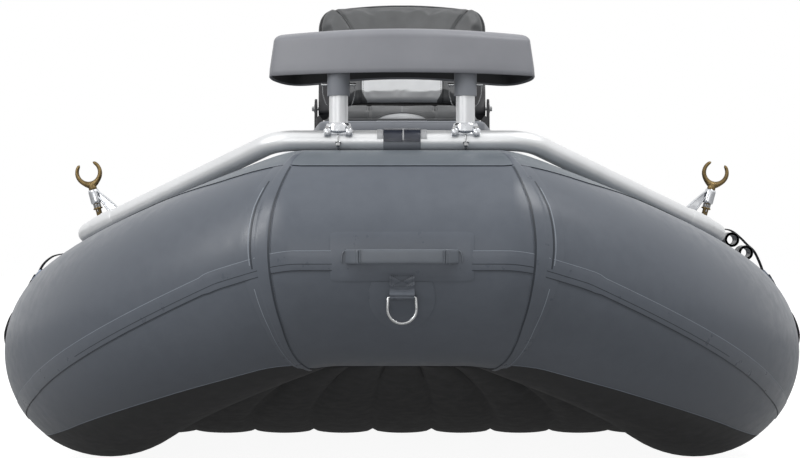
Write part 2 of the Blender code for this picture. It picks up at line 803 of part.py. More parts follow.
def spigot():
    """The splice: a tight fit in the rail, a slip fit in the crossbar."""
    reach = slant_direction() * INSERT_LENGTH / 2
    inner = PIPE / 2 - PIPE_WALL
    seated = join_point() + slant_direction() * PIPE_WALL
    tight = rod(seated, join_point() + reach, inner + PIPE_WALL / 3)
    free = rod(join_point() - reach, join_point() + reach, inner - SLIP)
    bore = rod(join_point() - 2 * reach, join_point() + 2 * reach, inner - SLIP - INSERT_WALL)
    return boolean(boolean(tight, "UNION", free), "DIFFERENCE", bore)


def seat_bar_slant():
    """Direction, in a plane across the boat, from the rail up to a seat bar's bend."""
    return (Vector((BAR_BEND_X, 0, BAR_Z)) - Vector((RAIL_X, 0, RAIL_Z))).normalized()


def seat_bar(back):
    """A raised bar with the clamp that holds each end on a rail."""
    rail = at(RAIL_X, back, RAIL_Z)
    bend = at(BAR_BEND_X, back, BAR_Z)
    path = rounded_path([MIRROR_X @ rail, MIRROR_X @ bend, bend, rail], BAR_BEND_RADIUS)
    return clamped_bar(path, back, seat_bar_slant())


def foot_bar():
    rail = at(RAIL_X, FOOT_BAR_BACK, RAIL_Z)
    return clamped_bar([MIRROR_X @ rail, rail], FOOT_BAR_BACK, Vector((-1, 0, 0)))


def seat_bar_backs(seat_back):
    return {"fore": seat_back - SEAT_BAR_SPACING / 2, "aft": seat_back + SEAT_BAR_SPACING / 2}


def rail_cutter(back, length):
    """The rail's own space, with slip, and the space under the crown of the side tube."""
    rail = at(RAIL_X, back, RAIL_Z)
    half = Vector((0, length, 0))
    hole = rod(rail - half, rail + half, PIPE / 2 + SLIP)
    depth = SIDE_TUBE_RADIUS / 2
    below = box(at(RAIL_X, back, CROWN + GAP - depth / 2), (2 * SIDE_TUBE_RADIUS, 4 * length, depth))
    return hole, below


def clamped_bar(path, back, direction):
    """A bar across the boat, with a collar round each rail and a socket round each bar end."""
    outer = PIPE / 2 + SLIP + FITTING_WALL
    half = Vector((0, FITTING_LENGTH / 2, 0))
    bar = skin(rings_along(path, PIPE / 2, PIPE_SIDES))
    bore = skin(rings_along(path, PIPE / 2 - PIPE_WALL, PIPE_SIDES))
    cutters = [bore]
    for matrix in SIDES.values():
        rail = matrix @ at(RAIL_X, back, RAIL_Z)
        way = matrix @ direction
        collar = rod(rail - half, rail + half, outer)
        socket = rod(rail, rail + way * (outer + SOCKET_DEPTH), outer)
        bar = boolean(bar, "UNION", collar, socket)
        cutters += [turned_copy_free(cutter, matrix) for cutter in rail_cutter(back, FITTING_LENGTH)]
    return boolean(bar, "DIFFERENCE", *cutters)


def build_frame():
    bar = end_crossbar()
    make("rear_crossbar", turned_copy(bar, MIRROR_Y), "pipe")
    make("front_crossbar", bar, "pipe")
    for side, matrix in SIDES.items():
        make(f"rail_{side}", turned_copy_free(side_rail(), matrix), "pipe")
    for seat, seat_back in (("front", FRONT_SEAT_BACK), ("rower", ROWER_SEAT_BACK)):
        for place_name, back in seat_bar_backs(seat_back).items():
            make(f"{seat}_seat_bar_{place_name}", seat_bar(back), "pipe")
    make("foot_bar", foot_bar(), "pipe")


def build_wrap():
    """The fabric sleeve that holds the crossbar down at the middle of the bow."""
    half = Vector((WRAP_WIDTH / 2, 0, 0))
    axis = at(0, BAR_BACK, BAR_Z)
    sleeve = rod(axis - half, axis + half, PIPE / 2 + SLIP + WRAP_WALL)
    hole = rod(axis - 2 * half, axis + 2 * half, PIPE / 2 + SLIP)
    below = box(at(0, BAR_BACK, BOW_TOP + GAP - PIPE), (2 * WRAP_WIDTH, 4 * PIPE, 2 * PIPE))
    make("hold_down_wrap", boolean(sleeve, "DIFFERENCE", hole, below), "pvc")


# Thigh brace

def brace_ceiling():
    return BRACE_RIM_HEIGHT + BRACE_DEPTH - BRACE_WALL


def pin_centre():
    return at(POST_X, BAR_BACK, BRACE_RIM_HEIGHT - PIN_BELOW_RIM)


def pin_hole():
    reach = Vector((POST, 0, 0))
    return rod(pin_centre() - reach, pin_centre() + reach, PIN / 2 + SLIP, 10)


def brace_post():
    """A post in its cast foot: a saddle over the crossbar with a bolt head at each end."""
    half = Vector((CLAMP_LENGTH / 2, 0, 0))
    bar = at(POST_X, BAR_BACK, BAR_Z)
    saddle = rod(bar - half, bar + half, PIPE / 2 + SLIP + CLAMP_WALL)
    top = bar + Vector((0, 0, PIPE / 2 + CLAMP_HEIGHT))
    socket = rod(bar, top, POST / 2 + CLAMP_WALL)
    bolts = []
    for side in (-1, 1):
        ahead = PIPE / 2 + SLIP + CLAMP_WALL / 2
        start = bar + Vector((side * (CLAMP_LENGTH / 2 - CLAMP_BOLT_SUNK), -ahead, PIPE / 4))
        bolts.append(rod(start, start + Vector((side * CLAMP_BOLT, 0, 0)), CLAMP_BOLT / 2, 6))
    bar_hole = rod(bar - 2 * half, bar + 2 * half, PIPE / 2 + SLIP)
    below = box(at(POST_X, BAR_BACK, BOW_TOP + GAP - PIPE), (2 * PIPE, 4 * PIPE, 2 * PIPE))
    post_top = Vector((bar.x, bar.y, brace_ceiling() - 2 * BRACE_WALL))
    post = rod(bar, post_top, POST / 2)
    bore = rod(bar, post_top + Vector((0, 0, POST)), POST / 2 - POST_WALL)
    whole = boolean(saddle, "UNION", socket, post, *bolts)
    return boolean(whole, "DIFFERENCE", bore, bar_hole, below, pin_hole())


def chaikin(points, rounds):
    """A closed polygon with its corners cut round."""
    for _ in range(rounds):
        cut = []
        for k, here in enumerate(points):
            there = points[(k + 1) % len(points)]
            cut.append((0.75 * here[0] + 0.25 * there[0], 0.75 * here[1] + 0.25 * there[1]))
            cut.append((0.25 * here[0] + 0.75 * there[0], 0.25 * here[1] + 0.75 * there[1]))
        points = cut
    return points


def brace_outline():
    """Crescent plan of the brace, anticlockwise, as (x, back) points with -Y at the front."""
    front = []
    samples = 4
    wide = BRACE_HALF_WIDTH * BRACE_FRONT_SHARE
    for k in range(-samples // 2, samples // 2 + 1):
        x = 2 * k * wide / samples
        front.append((x, BRACE_FRONT_BACK + (BRACE_SIDE_BACK - BRACE_FRONT_BACK) * (x / BRACE_HALF_WIDTH) ** 2))
    right = [
        (BRACE_HALF_WIDTH, BRACE_SIDE_BACK + BRACE_CORNER),
        (BRACE_HALF_WIDTH, (BRACE_SIDE_BACK + BRACE_HORN_BACK) / 2),
        ((BRACE_HALF_WIDTH + BRACE_HORN_INNER_X) / 2 + BRACE_CORNER, BRACE_HORN_BACK),
    ]
    rear = []
    for k in range(samples // 2, -samples // 2 - 1, -1):
        x = 2 * k * BRACE_HORN_INNER_X / samples
        rear.append((x, BRACE_WAIST_BACK + (BRACE_HORN_BACK - BRACE_WAIST_BACK) * (x / BRACE_HORN_INNER_X) ** 2))
    left = [(-x, back) for x, back in reversed(right)]
    return chaikin(front + right + rear + left, 2)


def inset(outline, distance):
    """An anticlockwise outline moved inwards by a distance."""
    result = []
    for k, (x, y) in enumerate(outline):
        before = outline[k - 1]
        after = outline[(k + 1) % len(outline)]
        normal = Vector((-(after[1] - before[1]), after[0] - before[0])).normalized()
        result.append((x + normal.x * distance, y + normal.y * distance))
    return result


def brace_loop(outline, distance, height):
    return [at(x, back, height) for x, back in inset(outline, distance)]


def build_brace():
    outline = brace_outline()
    top = BRACE_RIM_HEIGHT + BRACE_DEPTH
    shell = skin([
        brace_loop(outline, BRACE_WALL + BRACE_DRAFT, brace_ceiling()),
        brace_loop(outline, BRACE_WALL, BRACE_RIM_HEIGHT),
        brace_loop(outline, 0.0, BRACE_RIM_HEIGHT),
        brace_loop(outline, BRACE_DRAFT, top - BRACE_ROUND),
        brace_loop(outline, BRACE_DRAFT + 0.3 * BRACE_ROUND, top - 0.3 * BRACE_ROUND),
        brace_loop(outline, BRACE_DRAFT + BRACE_ROUND, top),
    ])
    foot = at(POST_X, BAR_BACK, BRACE_RIM_HEIGHT - SLEEVE_DROP)
    high = at(POST_X, BAR_BACK, brace_ceiling() + BRACE_WALL / 2)
    for matrix in SIDES.values():
        sleeve = pipe([foot, high], POST + 2 * SLIP + 2 * SLEEVE_WALL, SLEEVE_WALL)
        sleeve = boolean(sleeve, "DIFFERENCE", pin_hole())
        shell = boolean(shell, "UNION", turned_copy_free(sleeve, matrix))
    make("brace_shell", shell, "moulded", smooth_angle=50)
    for side, matrix in SIDES.items():
        make(f"brace_post_{side}", turned_copy_free(brace_post(), matrix), "pipe")
        pin = turned_copy_free(hitch_pin(), matrix)
        make(f"hitch_pin_{side}", pin, "steel", origin=matrix @ pin_centre())


def hitch_pin():
    """The cross pin with its wire bail, which hangs behind the post."""
    centre = pin_centre()
    reach = POST / 2 + SLIP + SLEEVE_WALL + 0.012
    pin = rod(centre - Vector((reach, 0, 0)), centre + Vector((reach, 0, 0)), PIN / 2, 10)
    behind = POST / 2 + SLEEVE_WALL + 0.010
    leg = reach - BAIL_WIRE
    low = Vector((0, behind, -BAIL_DROP))
    path = rounded_path([
        centre + Vector((-leg, 0, 0)), centre + Vector((-leg, 0, 0)) + low,
        centre + Vector((leg, 0, 0)) + low, centre + Vector((leg, 0, 0)),
    ], 0.014, radians(30))
    return boolean(pin, "UNION", wire(path, BAIL_WIRE))


# Seats

def seat_heights():
    """Heights of the stack: plate, fixed swivel, turning swivel, base, cushion and hinge."""
    plate = BAR_Z + PIPE / 2 + GAP
    swivel = plate + SEAT_PLATE_THICKNESS + GAP
    turning = swivel + SWIVEL_HEIGHT + GAP
    base = turning + SWIVEL_HEIGHT
    cushion = base + SEAT_BASE_THICKNESS + GAP
    hinge = cushion + CUSHION_THICKNESS + SEAT_HINGE_ABOVE_CUSHION
    return {"plate": plate, "swivel": swivel, "turning": turning, "base": base, "cushion": cushion, "hinge": hinge}


def disc(centre_back, low, thickness, radius):
    start = at(0, centre_back, low)
    return rod(start, start + Vector((0, 0, thickness)), radius, 28)


def seat_outline(width, depth, corner, centre_back):
    return rounded_outline(width, depth, corner, (0.0, BOW_Y + centre_back))


def seat_base(back):
    """The moulded base with the turning half of the swivel under it."""
    z = seat_heights()
    outline = seat_outline(SEAT_WIDTH, SEAT_DEPTH, SEAT_CORNER, back)
    base = slab(outline, z["base"], z["base"] + SEAT_BASE_THICKNESS)
    turning = disc(back, z["turning"], SWIVEL_HEIGHT + SEAT_BASE_THICKNESS / 3, SWIVEL_RADIUS)
    return boolean(base, "UNION", turning, seat_bracket(back, -1), seat_bracket(back, 1))


def seat_cushion(back):
    """A plain cushion with eased edges."""
    low = seat_heights()["cushion"]
    centre = back - SEAT_DEPTH / 2 + CUSHION_FRONT_MARGIN + CUSHION_DEPTH / 2
    ease = CUSHION_THICKNESS / 3
    levels = ((ease, 0.0), (0.0, ease), (0.0, 2 * ease), (1.6 * ease, 3 * ease))
    rings = []
    for inset_by, rise in levels:
        outline = seat_outline(CUSHION_WIDTH - 2 * inset_by, CUSHION_DEPTH - 2 * inset_by, 0.05, centre)
        rings.append([Vector((x, y, low + rise)) for x, y in outline])
    return skin(rings)


def hinge_point(back):
    return at(0, back + SEAT_HINGE_FROM_AXIS, seat_heights()["hinge"])


def back_point(back, x, up, rear):
    """A point on the seat back: x across, up along its lean, rear behind the hinge axis."""
    along = Vector((0, sin(SEAT_BACK_LEAN), cos(SEAT_BACK_LEAN)))
    behind = Vector((0, cos(SEAT_BACK_LEAN), -sin(SEAT_BACK_LEAN)))
    return hinge_point(back) + Vector((x, 0, 0)) + along * up + behind * rear


def back_slab(back, outline, front, rear):
    return skin([[back_point(back, x, up, depth) for x, up in outline] for depth in (front, rear)])


def back_outline(low, high, shrink=0.0):
    """Outline of the seat back between two heights, narrower and rounder at the top."""
    width = SEAT_BACK_WIDTH - 2 * shrink
    middle = (low + high) / 2
    points = rounded_outline(width, high - low - 2 * shrink, SEAT_BACK_CORNER, (0.0, middle))
    return [(x if up > middle else x * BACK_FOOT_SHARE, up) for x, up in points]


def pad_bottom():
    return EAR_RADIUS + PAD_ABOVE_EAR


def seat_back_pad(back):
    rear = SEAT_BACK_PAD - SEAT_HINGE_AHEAD
    ease = SEAT_BACK_PAD / 4
    rings = []
    for shrink, depth in ((0.9 * ease, -SEAT_HINGE_AHEAD), (0.0, ease - SEAT_HINGE_AHEAD), (0.0, rear)):
        outline = back_outline(pad_bottom(), SEAT_BACK_HEIGHT, shrink)
        rings.append([back_point(back, x, up, depth) for x, up in outline])
    return skin(rings)


def seat_back_shell(back):
    """The moulded shell behind the pad, with an ear round each hinge pin."""
    front = SEAT_BACK_PAD - SEAT_HINGE_AHEAD + GAP
    low = -EAR_RADIUS
    panel = back_slab(back, back_outline(low, SEAT_BACK_HEIGHT), front, front + SEAT_BACK_SHELL)
    edge = SEAT_BACK_WIDTH / 2 - EAR_FROM_SIDE
    shell = panel
    for side in (-1, 1):
        x0, x1 = side * (edge - EAR_WIDTH), side * edge
        arm = back_slab(
            back, [(x0, low), (x1, low), (x1, EAR_RADIUS), (x0, EAR_RADIUS)], -EAR_RADIUS / 2,
            front + SEAT_BACK_SHELL / 2,
        )
        shell = boolean(shell, "UNION", arm)
    hole = rod(
        hinge_point(back) - Vector((SEAT_WIDTH, 0, 0)), hinge_point(back) + Vector((SEAT_WIDTH, 0, 0)),
        HINGE_PIN / 2 + SLIP, 12,
    )
    return boolean(shell, "DIFFERENCE", hole)


def seat_bracket(back, side):
    """An upright on the base with the pin that the back's ear turns on."""
    z = seat_heights()
    low = z["base"] + SEAT_BASE_THICKNESS / 2
    hinge = hinge_point(back)
    inner = SEAT_BACK_WIDTH / 2 + SLIP
    middle = side * (inner + BRACKET_THICKNESS / 2)
    height = hinge.z - low
    plate = box(
        Vector((middle, hinge.y, low + height / 2)), (BRACKET_THICKNESS, BRACKET_LENGTH, height)
    )
    half = Vector((BRACKET_THICKNESS / 2, 0, 0))
    centre = Vector((middle, hinge.y, hinge.z))
    boss = rod(centre - half, centre + half, BRACKET_BOSS_RADIUS, 16)
    pin_in = SEAT_BACK_WIDTH / 2 - EAR_FROM_SIDE - EAR_WIDTH - EAR_TO_PIN_END
    pin = rod(Vector((side * pin_in, hinge.y, hinge.z)), centre, HINGE_PIN / 2, 12)
    return boolean(plate, "UNION", boss, pin)


def build_seats():
    z = seat_heights()
    for seat, back in (("front", FRONT_SEAT_BACK), ("rower", ROWER_SEAT_BACK)):
        outline = seat_outline(SEAT_PLATE_WIDTH, SEAT_PLATE_LENGTH, 0.02, back)
        make(f"{seat}_seat_plate", slab(outline, z["plate"], z["plate"] + SEAT_PLATE_THICKNESS), "pipe")
        make(f"{seat}_seat_swivel", disc(back, z["swivel"], SWIVEL_HEIGHT, SWIVEL_RADIUS), "steel")
        axis = at(0, back, z["turning"])
        make(f"{seat}_seat_base", seat_base(back), "moulded", origin=axis)
        make(f"{seat}_seat_cushion", seat_cushion(back), "vinyl", origin=axis)
        make(f"{seat}_back_shell", seat_back_shell(back), "black", origin=hinge_point(back))
        make(f"{seat}_back_pad", seat_back_pad(back), "vinyl", origin=hinge_point(back))


# Oar gear

def lock_centre():
    return at(RAIL_X + LOCK_FROM_RAIL, OAR_STAND_BACK, LOCK_HEIGHT)


def lock_axis():
    """The direction the oarlock's pin stands in, leaning outboard."""
    return Vector((sin(OAR_STAND_LEAN), 0, cos(OAR_STAND_LEAN)))


def socket_top():
    """Distance from the ring's centre down to the top of the socket."""
    return LOCK_BORE_RADIUS + 2 * LOCK_THICK + SHOULDER_LENGTH


def oarlock():
    """An open bronze horn ring on its shank."""
    centre = lock_centre()
    axis = lock_axis()
    out = Vector((axis.z, 0, -axis.x))
    steps = 18
    rings = []
    for k in range(steps + 1):
        angle = LOCK_MOUTH + (2 * pi - 2 * LOCK_MOUTH) * k / steps
        share = (1 - cos(angle)) / 2
        half = LOCK_THIN + (LOCK_THICK - LOCK_THIN) * share
        radial = cos(angle) * axis + sin(angle) * out
        middle = centre + radial * (LOCK_BORE_RADIUS + half)
        sides = 8
        rings.append([
            middle + half * (cos(2 * pi * j / sides) * radial + LOCK_DEPTH_SHARE * sin(2 * pi * j / sides) * Vector((0, 1, 0)))
            for j in range(sides)
        ])
    ring = skin(rings)
    start = centre - axis * (LOCK_BORE_RADIUS + LOCK_THICK)
    shoulder = rod(start, centre - axis * (socket_top() - GAP), SHANK / 2 + SHOULDER_STEP, 12)
    end = start - axis * SHANK_LENGTH
    ring_top = centre - axis * (socket_top() + SOCKET_LENGTH + KEEPER_BELOW_SOCKET)
    keeper = rod(ring_top, ring_top - axis * KEEPER_THICKNESS, KEEPER_RADIUS, 12)
    return boolean(ring, "UNION", shoulder, rod(start, end, SHANK / 2, 12), keeper)


def oar_stand():
    """A cast clamp on the rail with an arched arm up to the oarlock's socket."""
    rail = at(RAIL_X, OAR_STAND_BACK, RAIL_Z)
    half = Vector((0, ARM_WIDTH, 0))
    outer = PIPE / 2 + SLIP + FITTING_WALL
    collar = rod(rail - half, rail + half, outer)
    high = lock_centre() - lock_axis() * socket_top()
    low = high - lock_axis() * SOCKET_LENGTH
    socket = rod(high, low, SHANK / 2 + SLIP + SOCKET_WALL, 14)
    root = rail + Vector((ARM_ROOT_OUT, 0, PIPE / 2))
    knee = Vector((rail.x + ARM_KNEE_OUT, rail.y, (high.z + low.z) / 2 + ARM_KNEE_LIFT))
    path = rounded_path([root, knee, (high + low) / 2], ARM_BEND_RADIUS, radians(20))
    arm = skin([
        ring_points(p, d, ARM_THICKNESS / 2, 8, squash=ARM_WIDTH / ARM_THICKNESS)
        for p, d in zip(path, directions(path))
    ])
    rail_hole = rod(rail - 2 * half, rail + 2 * half, PIPE / 2 + SLIP)
    shank_hole = rod(high + lock_axis() * 0.02, low - lock_axis() * 0.02, SHANK / 2 + SLIP, 12)
    below = box(at(RAIL_X, OAR_STAND_BACK, CROWN + GAP - PIPE), (8 * PIPE, 4 * ARM_WIDTH, 2 * PIPE))
    stand = boolean(collar, "UNION", arm, socket)
    return boolean(stand, "DIFFERENCE", rail_hole, shank_hole, below)


def build_oar_gear():
    for side, matrix in SIDES.items():
        top = lock_centre() - lock_axis() * socket_top()
        make(f"oar_stand_{side}", turned_copy(oar_stand(), matrix), "cast")
        make(f"oarlock_{side}", turned_copy(oarlock(), matrix), "bronze", origin=matrix @ top)


# Straps, side rings and rod rings

def tube_section():
    """The port tube cut across the boat behind the strap's buckle, as (x, z) points."""
    rings = quarter_rings() + [shifted(quarter_rings()[-1], Vector((0, 1, 0)))]
    y = BOW_Y + STRAP_BACK + BUCKLE_WIDTH / 2
    points = []
    for k in range(HULL_SIDES):
        for near, far in zip(rings, rings[1:]):
            if near[k].y <= y < far[k].y:
                share = (y - near[k].y) / (far[k].y - near[k].y)
                point = near[k].lerp(far[k], share)
                points.append((point.x, point.z))
                break
    return points


def tube_at_strap(clearance):
    """The tube the strap lies on, as one solid past the baffle between its chambers."""
    return end_chamber(clearance, STRAP_OVERRUN)


def section_centre():
    points = tube_section()
    return (sum(x for x, _ in points) / len(points), sum(z for _, z in points) / len(points))


def section_point(angle):
    """Where a ray from the section's centre leaves the tube, and the outward normal there."""
    cx, cz = section_centre()
    points = tube_section()
    ray = Vector((cos(angle), sin(angle)))
    for k, here in enumerate(points):
        there = points[(k + 1) % len(points)]
        a = Vector((here[0] - cx, here[1] - cz))
        b = Vector((there[0] - cx, there[1] - cz))
        edge = b - a
        cross = ray.x * edge.y - ray.y * edge.x
        if abs(cross) < 1e-9:
            continue
        reach = (a.x * edge.y - a.y * edge.x) / cross
        along = (a.x * ray.y - a.y * ray.x) / cross
        if reach > 0 and 0 <= along <= 1:
            normal = Vector((edge.y, 0, -edge.x)).normalized()
            if normal.x * ray.x + normal.z * ray.y < 0:
                normal = -normal
            return Vector((cx + reach * ray.x, BOW_Y + STRAP_BACK, cz + reach * ray.y)), normal
    raise ValueError("the section doesn't surround its centre")


def rod_ring_centres():
    centres = []
    for angle, stand in ROD_RINGS:
        foot, normal = section_point(angle)
        centres.append(foot + normal * (stand + ROD_RING_BORE + ROD_RING_WALL))
    return centres


def convex(points):
    """Convex hull of (x, z, angle) points, anticlockwise."""
    ordered = sorted(points)

    def half(items):
        chain = []
        for p in items:
            while len(chain) > 1 and (
                (chain[-1][0] - chain[-2][0]) * (p[1] - chain[-2][1])
                - (chain[-1][1] - chain[-2][1]) * (p[0] - chain[-2][0])
            ) <= 0:
                chain.pop()
            chain.append(p)
        return chain[:-1]

    return half(ordered) + half(ordered[::-1])


def strap_path(over_rings):
    """The taut line of a strap, from the side ring up the tube and over the rail."""
    cx, cz = section_centre()
    points = []
    for x, z in tube_section():
        points.append((x, z, Vector((x - cx, z - cz)).angle_signed(Vector((1, 0)))))
    circles = [(RAIL_X, RAIL_Z, PIPE / 2)]
    if over_rings:
        circles += [(c.x, c.z, ROD_RING_BORE + ROD_RING_WALL) for c in rod_ring_centres()]
    for x, z, radius in circles:
        for k in range(0, 12):
            angle = radians(-10 + 10 * k)
            reach = radius / cos(pi / PIPE_SIDES)
            points.append((x + reach * cos(angle), z + reach * sin(angle), angle))
    low = strap_foot_angle()
    taut = [p for p in convex(points) if low < p[2] < radians(85)]
    foot, normal = section_point(low)
    path = [(foot.x, foot.z, low)] + taut
    step = radians(22)
    reach = PIPE / 2 / cos(pi / PIPE_SIDES) / cos(step / 2)
    for k in range(5):
        angle = pi / 2 + step * k
        path.append((RAIL_X + reach * cos(angle), RAIL_Z + reach * sin(angle), angle))
    return path


def side_ring_frame():
    """Bar centre of the side ring, its outward normal and the way the strap pulls it."""
    foot, normal = section_point(SIDE_RING_ANGLE)
    pull = Vector((-normal.z, 0, normal.x))
    stand = 3 * GAP + FABRIC + STRAP + SIDE_RING_WIRE / 2 + SLIP
    return foot + normal * stand, normal, pull


def strap_foot_angle():
    """Angle round the tube where the strap leaves it for the side ring."""
    centre, _, pull = side_ring_frame()
    top = centre + pull * (SIDE_RING_REACH - SIDE_RING_WIRE)
    cx, cz = section_centre()
    radius = (section_point(SIDE_RING_ANGLE)[0] - Vector((cx, BOW_Y + STRAP_BACK, cz))).length
    rise = Vector((top.x - cx, top.z - cz)).angle_signed(Vector((1, 0)))
    past_ring = rise + (SIDE_RING_WIRE + 2 * STRAP + STRAP_FOOT_SPACE) / radius
    past_patch = SIDE_RING_ANGLE + (SIDE_PATCH_RADIUS + STRAP_FOOT_SPACE) / radius
    return max(past_ring, past_patch)


def strap(over_rings):
    """A flat strap along its taut line, with a loop round the side ring's upper bar."""
    half = STRAP_WIDTH / 2
    y = BOW_Y + STRAP_BACK
    across = Vector((0, half, 0))
    centre, normal, pull = side_ring_frame()
    bar = centre + pull * (SIDE_RING_REACH - SIDE_RING_WIRE)
    eye_radius = SIDE_RING_WIRE / 2 + SLIP
    inner = [bar + normal * eye_radius]
    outer = [bar + normal * (eye_radius + STRAP)]
    for x, z, angle in strap_path(over_rings):
        out = Vector((cos(angle), 0, sin(angle)))
        inner.append(Vector((x, y, z)) + out * GAP)
        outer.append(inner[-1] + out * STRAP)
    outline = inner + outer[::-1]
    band = skin([[p - across for p in outline], [p + across for p in outline]])
    eye = rod(bar - across, bar + across, eye_radius + STRAP, 12)
    bore = rod(bar - 2 * across, bar + 2 * across, eye_radius, 12)
    return boolean(boolean(band, "UNION", eye, buckle(over_rings)), "DIFFERENCE", bore)


def side_ring():
    """A rectangular wire ring, its lower bar in the patch's loop and its upper one in the strap's."""
    centre, _, pull = side_ring_frame()
    half = Vector((0, SIDE_RING_WIDTH / 2 - SIDE_RING_WIRE / 2, 0))
    rise = pull * (SIDE_RING_REACH - SIDE_RING_WIRE)
    corners = [centre - half, centre + half, centre + half + rise, centre - half + rise]
    middle = [(corners[0] + corners[1]) / 2]
    path = rounded_path(middle + corners[1:] + corners[:1] + middle, 0.006, radians(45))
    return wire(path[:-1], SIDE_RING_WIRE, closed=True)


def side_patch():
    """The round patch under a side ring, with the webbing loop that holds the ring."""
    centre, normal, pull = side_ring_frame()
    foot, _ = section_point(SIDE_RING_ANGLE)
    reach = SIDE_PATCH_RADIUS / 2
    plug = rod(foot - normal * reach, foot + normal * reach, SIDE_PATCH_RADIUS, 20)
    patch = boolean(plug, "INTERSECT", tube_at_strap(GAP + FABRIC))
    half = Vector((0, SIDE_RING_WIDTH / 2 - 2 * SIDE_RING_WIRE, 0))
    hole = SIDE_RING_WIRE / 2 + SLIP
    loop = rod(centre - half, centre + half, hole + FABRIC, 12)
    edges = [foot + pull * hole, foot - pull * hole, centre - pull * hole, centre + pull * hole]
    neck = skin([[p - half for p in edges], [p + half for p in edges]])
    bore = rod(centre - 2 * half, centre + 2 * half, hole, 12)
    patch = boolean(patch, "UNION", loop, neck)
    return boolean(patch, "DIFFERENCE", bore, tube_at_strap(GAP))


def buckle(over_rings):
    """A cam buckle on the strap, on the flat run nearest its place."""
    path = strap_path(over_rings)
    nearest = min(range(len(path) - 1), key=lambda k: abs((path[k][2] + path[k + 1][2]) / 2 - BUCKLE_ANGLE))
    start = Vector((path[nearest][0], BOW_Y + STRAP_BACK, path[nearest][1]))
    end = Vector((path[nearest + 1][0], BOW_Y + STRAP_BACK, path[nearest + 1][1]))
    along = (end - start).normalized()
    out = Vector((along.z, 0, -along.x))
    turn = Matrix((along, Vector((0, 1, 0)), out)).transposed().to_4x4()
    body = box(Vector((0, 0, 0)), (BUCKLE_LENGTH, BUCKLE_WIDTH, BUCKLE_HEIGHT))
    middle = (start + end) / 2 + out * (GAP + STRAP / 2 + BUCKLE_HEIGHT / 2)
    return turned_copy_free(body, Matrix.Translation(middle) @ turn)


def rod_rings():
    """Two short tubes for rod blanks on one moulded base, under the port strap."""
    half = Vector((0, ROD_RING_LENGTH / 2, 0))
    centres = rod_ring_centres()
    cx, cz = section_centre()
    inner = [c + (Vector((cx, c.y, cz)) - c).normalized() * ROD_RING_BASE for c in centres]
    corners = [centres[0], centres[1], inner[1], inner[0]]
    base = skin([[c - half for c in corners], [c + half for c in corners]])
    radius = ROD_RING_BORE + ROD_RING_WALL
    body = boolean(base, "UNION", *[rod(c - half, c + half, radius, 18) for c in centres])
    bores = [rod(c - 2 * half, c + 2 * half, ROD_RING_BORE, 18) for c in centres]
    return boolean(body, "DIFFERENCE", tube_at_strap(GAP), *bores)


def build_straps():
    for end, end_matrix in (("bow", Matrix.Identity(4)), ("stern", MIRROR_Y)):
        for side, side_matrix in SIDES.items():
            matrix = end_matrix @ side_matrix
            over_rings = (end, side) == ("bow", "port")
            place_name = f"{end}_{side}"
            make(f"strap_{place_name}", turned_copy_free(strap(over_rings), matrix), "webbing")
            make(f"side_ring_{place_name}", turned_copy_free(side_ring(), matrix), "steel")
            make(f"side_patch_{place_name}", turned_copy_free(side_patch(), matrix), "pvc")
    make("rod_rings", rod_rings(), "black")


def main():
    clear_scene()
    build_hull()
    build_floor()
    for end, matrix in (("bow", Matrix.Identity(4)), ("stern", MIRROR_Y)):
        build_bow_ring(end, matrix)
        build_handle(end, matrix)
    build_frame()
    build_wrap()
    build_brace()
    build_seats()
    build_oar_gear()
    build_straps()


main()
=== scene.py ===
"""The looks of the fishing raft: coated-fabric hull, bent-pipe frame, thigh brace, swivel seats and oar gear.

Metres, +Z up, the bow points to -Y and port is +X.  "back" is the distance from the bow tube's front face.
"""

import bmesh
import bpy
from math import acos, asin, atan2, cos, degrees, exp, pi, radians, sin, sqrt, tan
from mathutils import Matrix, Vector
from mathutils.bvhtree import BVHTree


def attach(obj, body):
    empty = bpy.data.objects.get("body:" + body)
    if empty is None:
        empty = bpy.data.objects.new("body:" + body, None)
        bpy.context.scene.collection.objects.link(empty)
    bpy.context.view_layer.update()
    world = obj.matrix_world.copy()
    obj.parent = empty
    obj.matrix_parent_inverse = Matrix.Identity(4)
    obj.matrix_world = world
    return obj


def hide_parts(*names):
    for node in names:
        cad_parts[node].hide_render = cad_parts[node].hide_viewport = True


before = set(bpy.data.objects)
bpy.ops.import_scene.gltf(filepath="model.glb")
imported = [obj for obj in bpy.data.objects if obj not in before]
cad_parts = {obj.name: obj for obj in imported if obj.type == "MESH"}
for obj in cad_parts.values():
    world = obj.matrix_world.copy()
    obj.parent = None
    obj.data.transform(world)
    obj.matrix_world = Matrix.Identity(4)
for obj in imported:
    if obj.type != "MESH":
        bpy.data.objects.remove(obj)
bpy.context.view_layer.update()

MIRROR_X = Matrix.Scale(-1, 4, (1, 0, 0))
MIRROR_Y = Matrix.Scale(-1, 4, (0, 1, 0))
AS_IS = Matrix.Identity(4)
SIDES = (("port", AS_IS), ("starboard", MIRROR_X))
ENDS = (("bow", AS_IS), ("stern", MIRROR_Y))
QUARTERS = [(f"{end}_{side}", turn @ mirror) for end, turn in ENDS for side, mirror in SIDES]
UP = Vector((0, 0, 1))
AFT = Vector((0, 1, 0))
ACROSS = Vector((1, 0, 0))

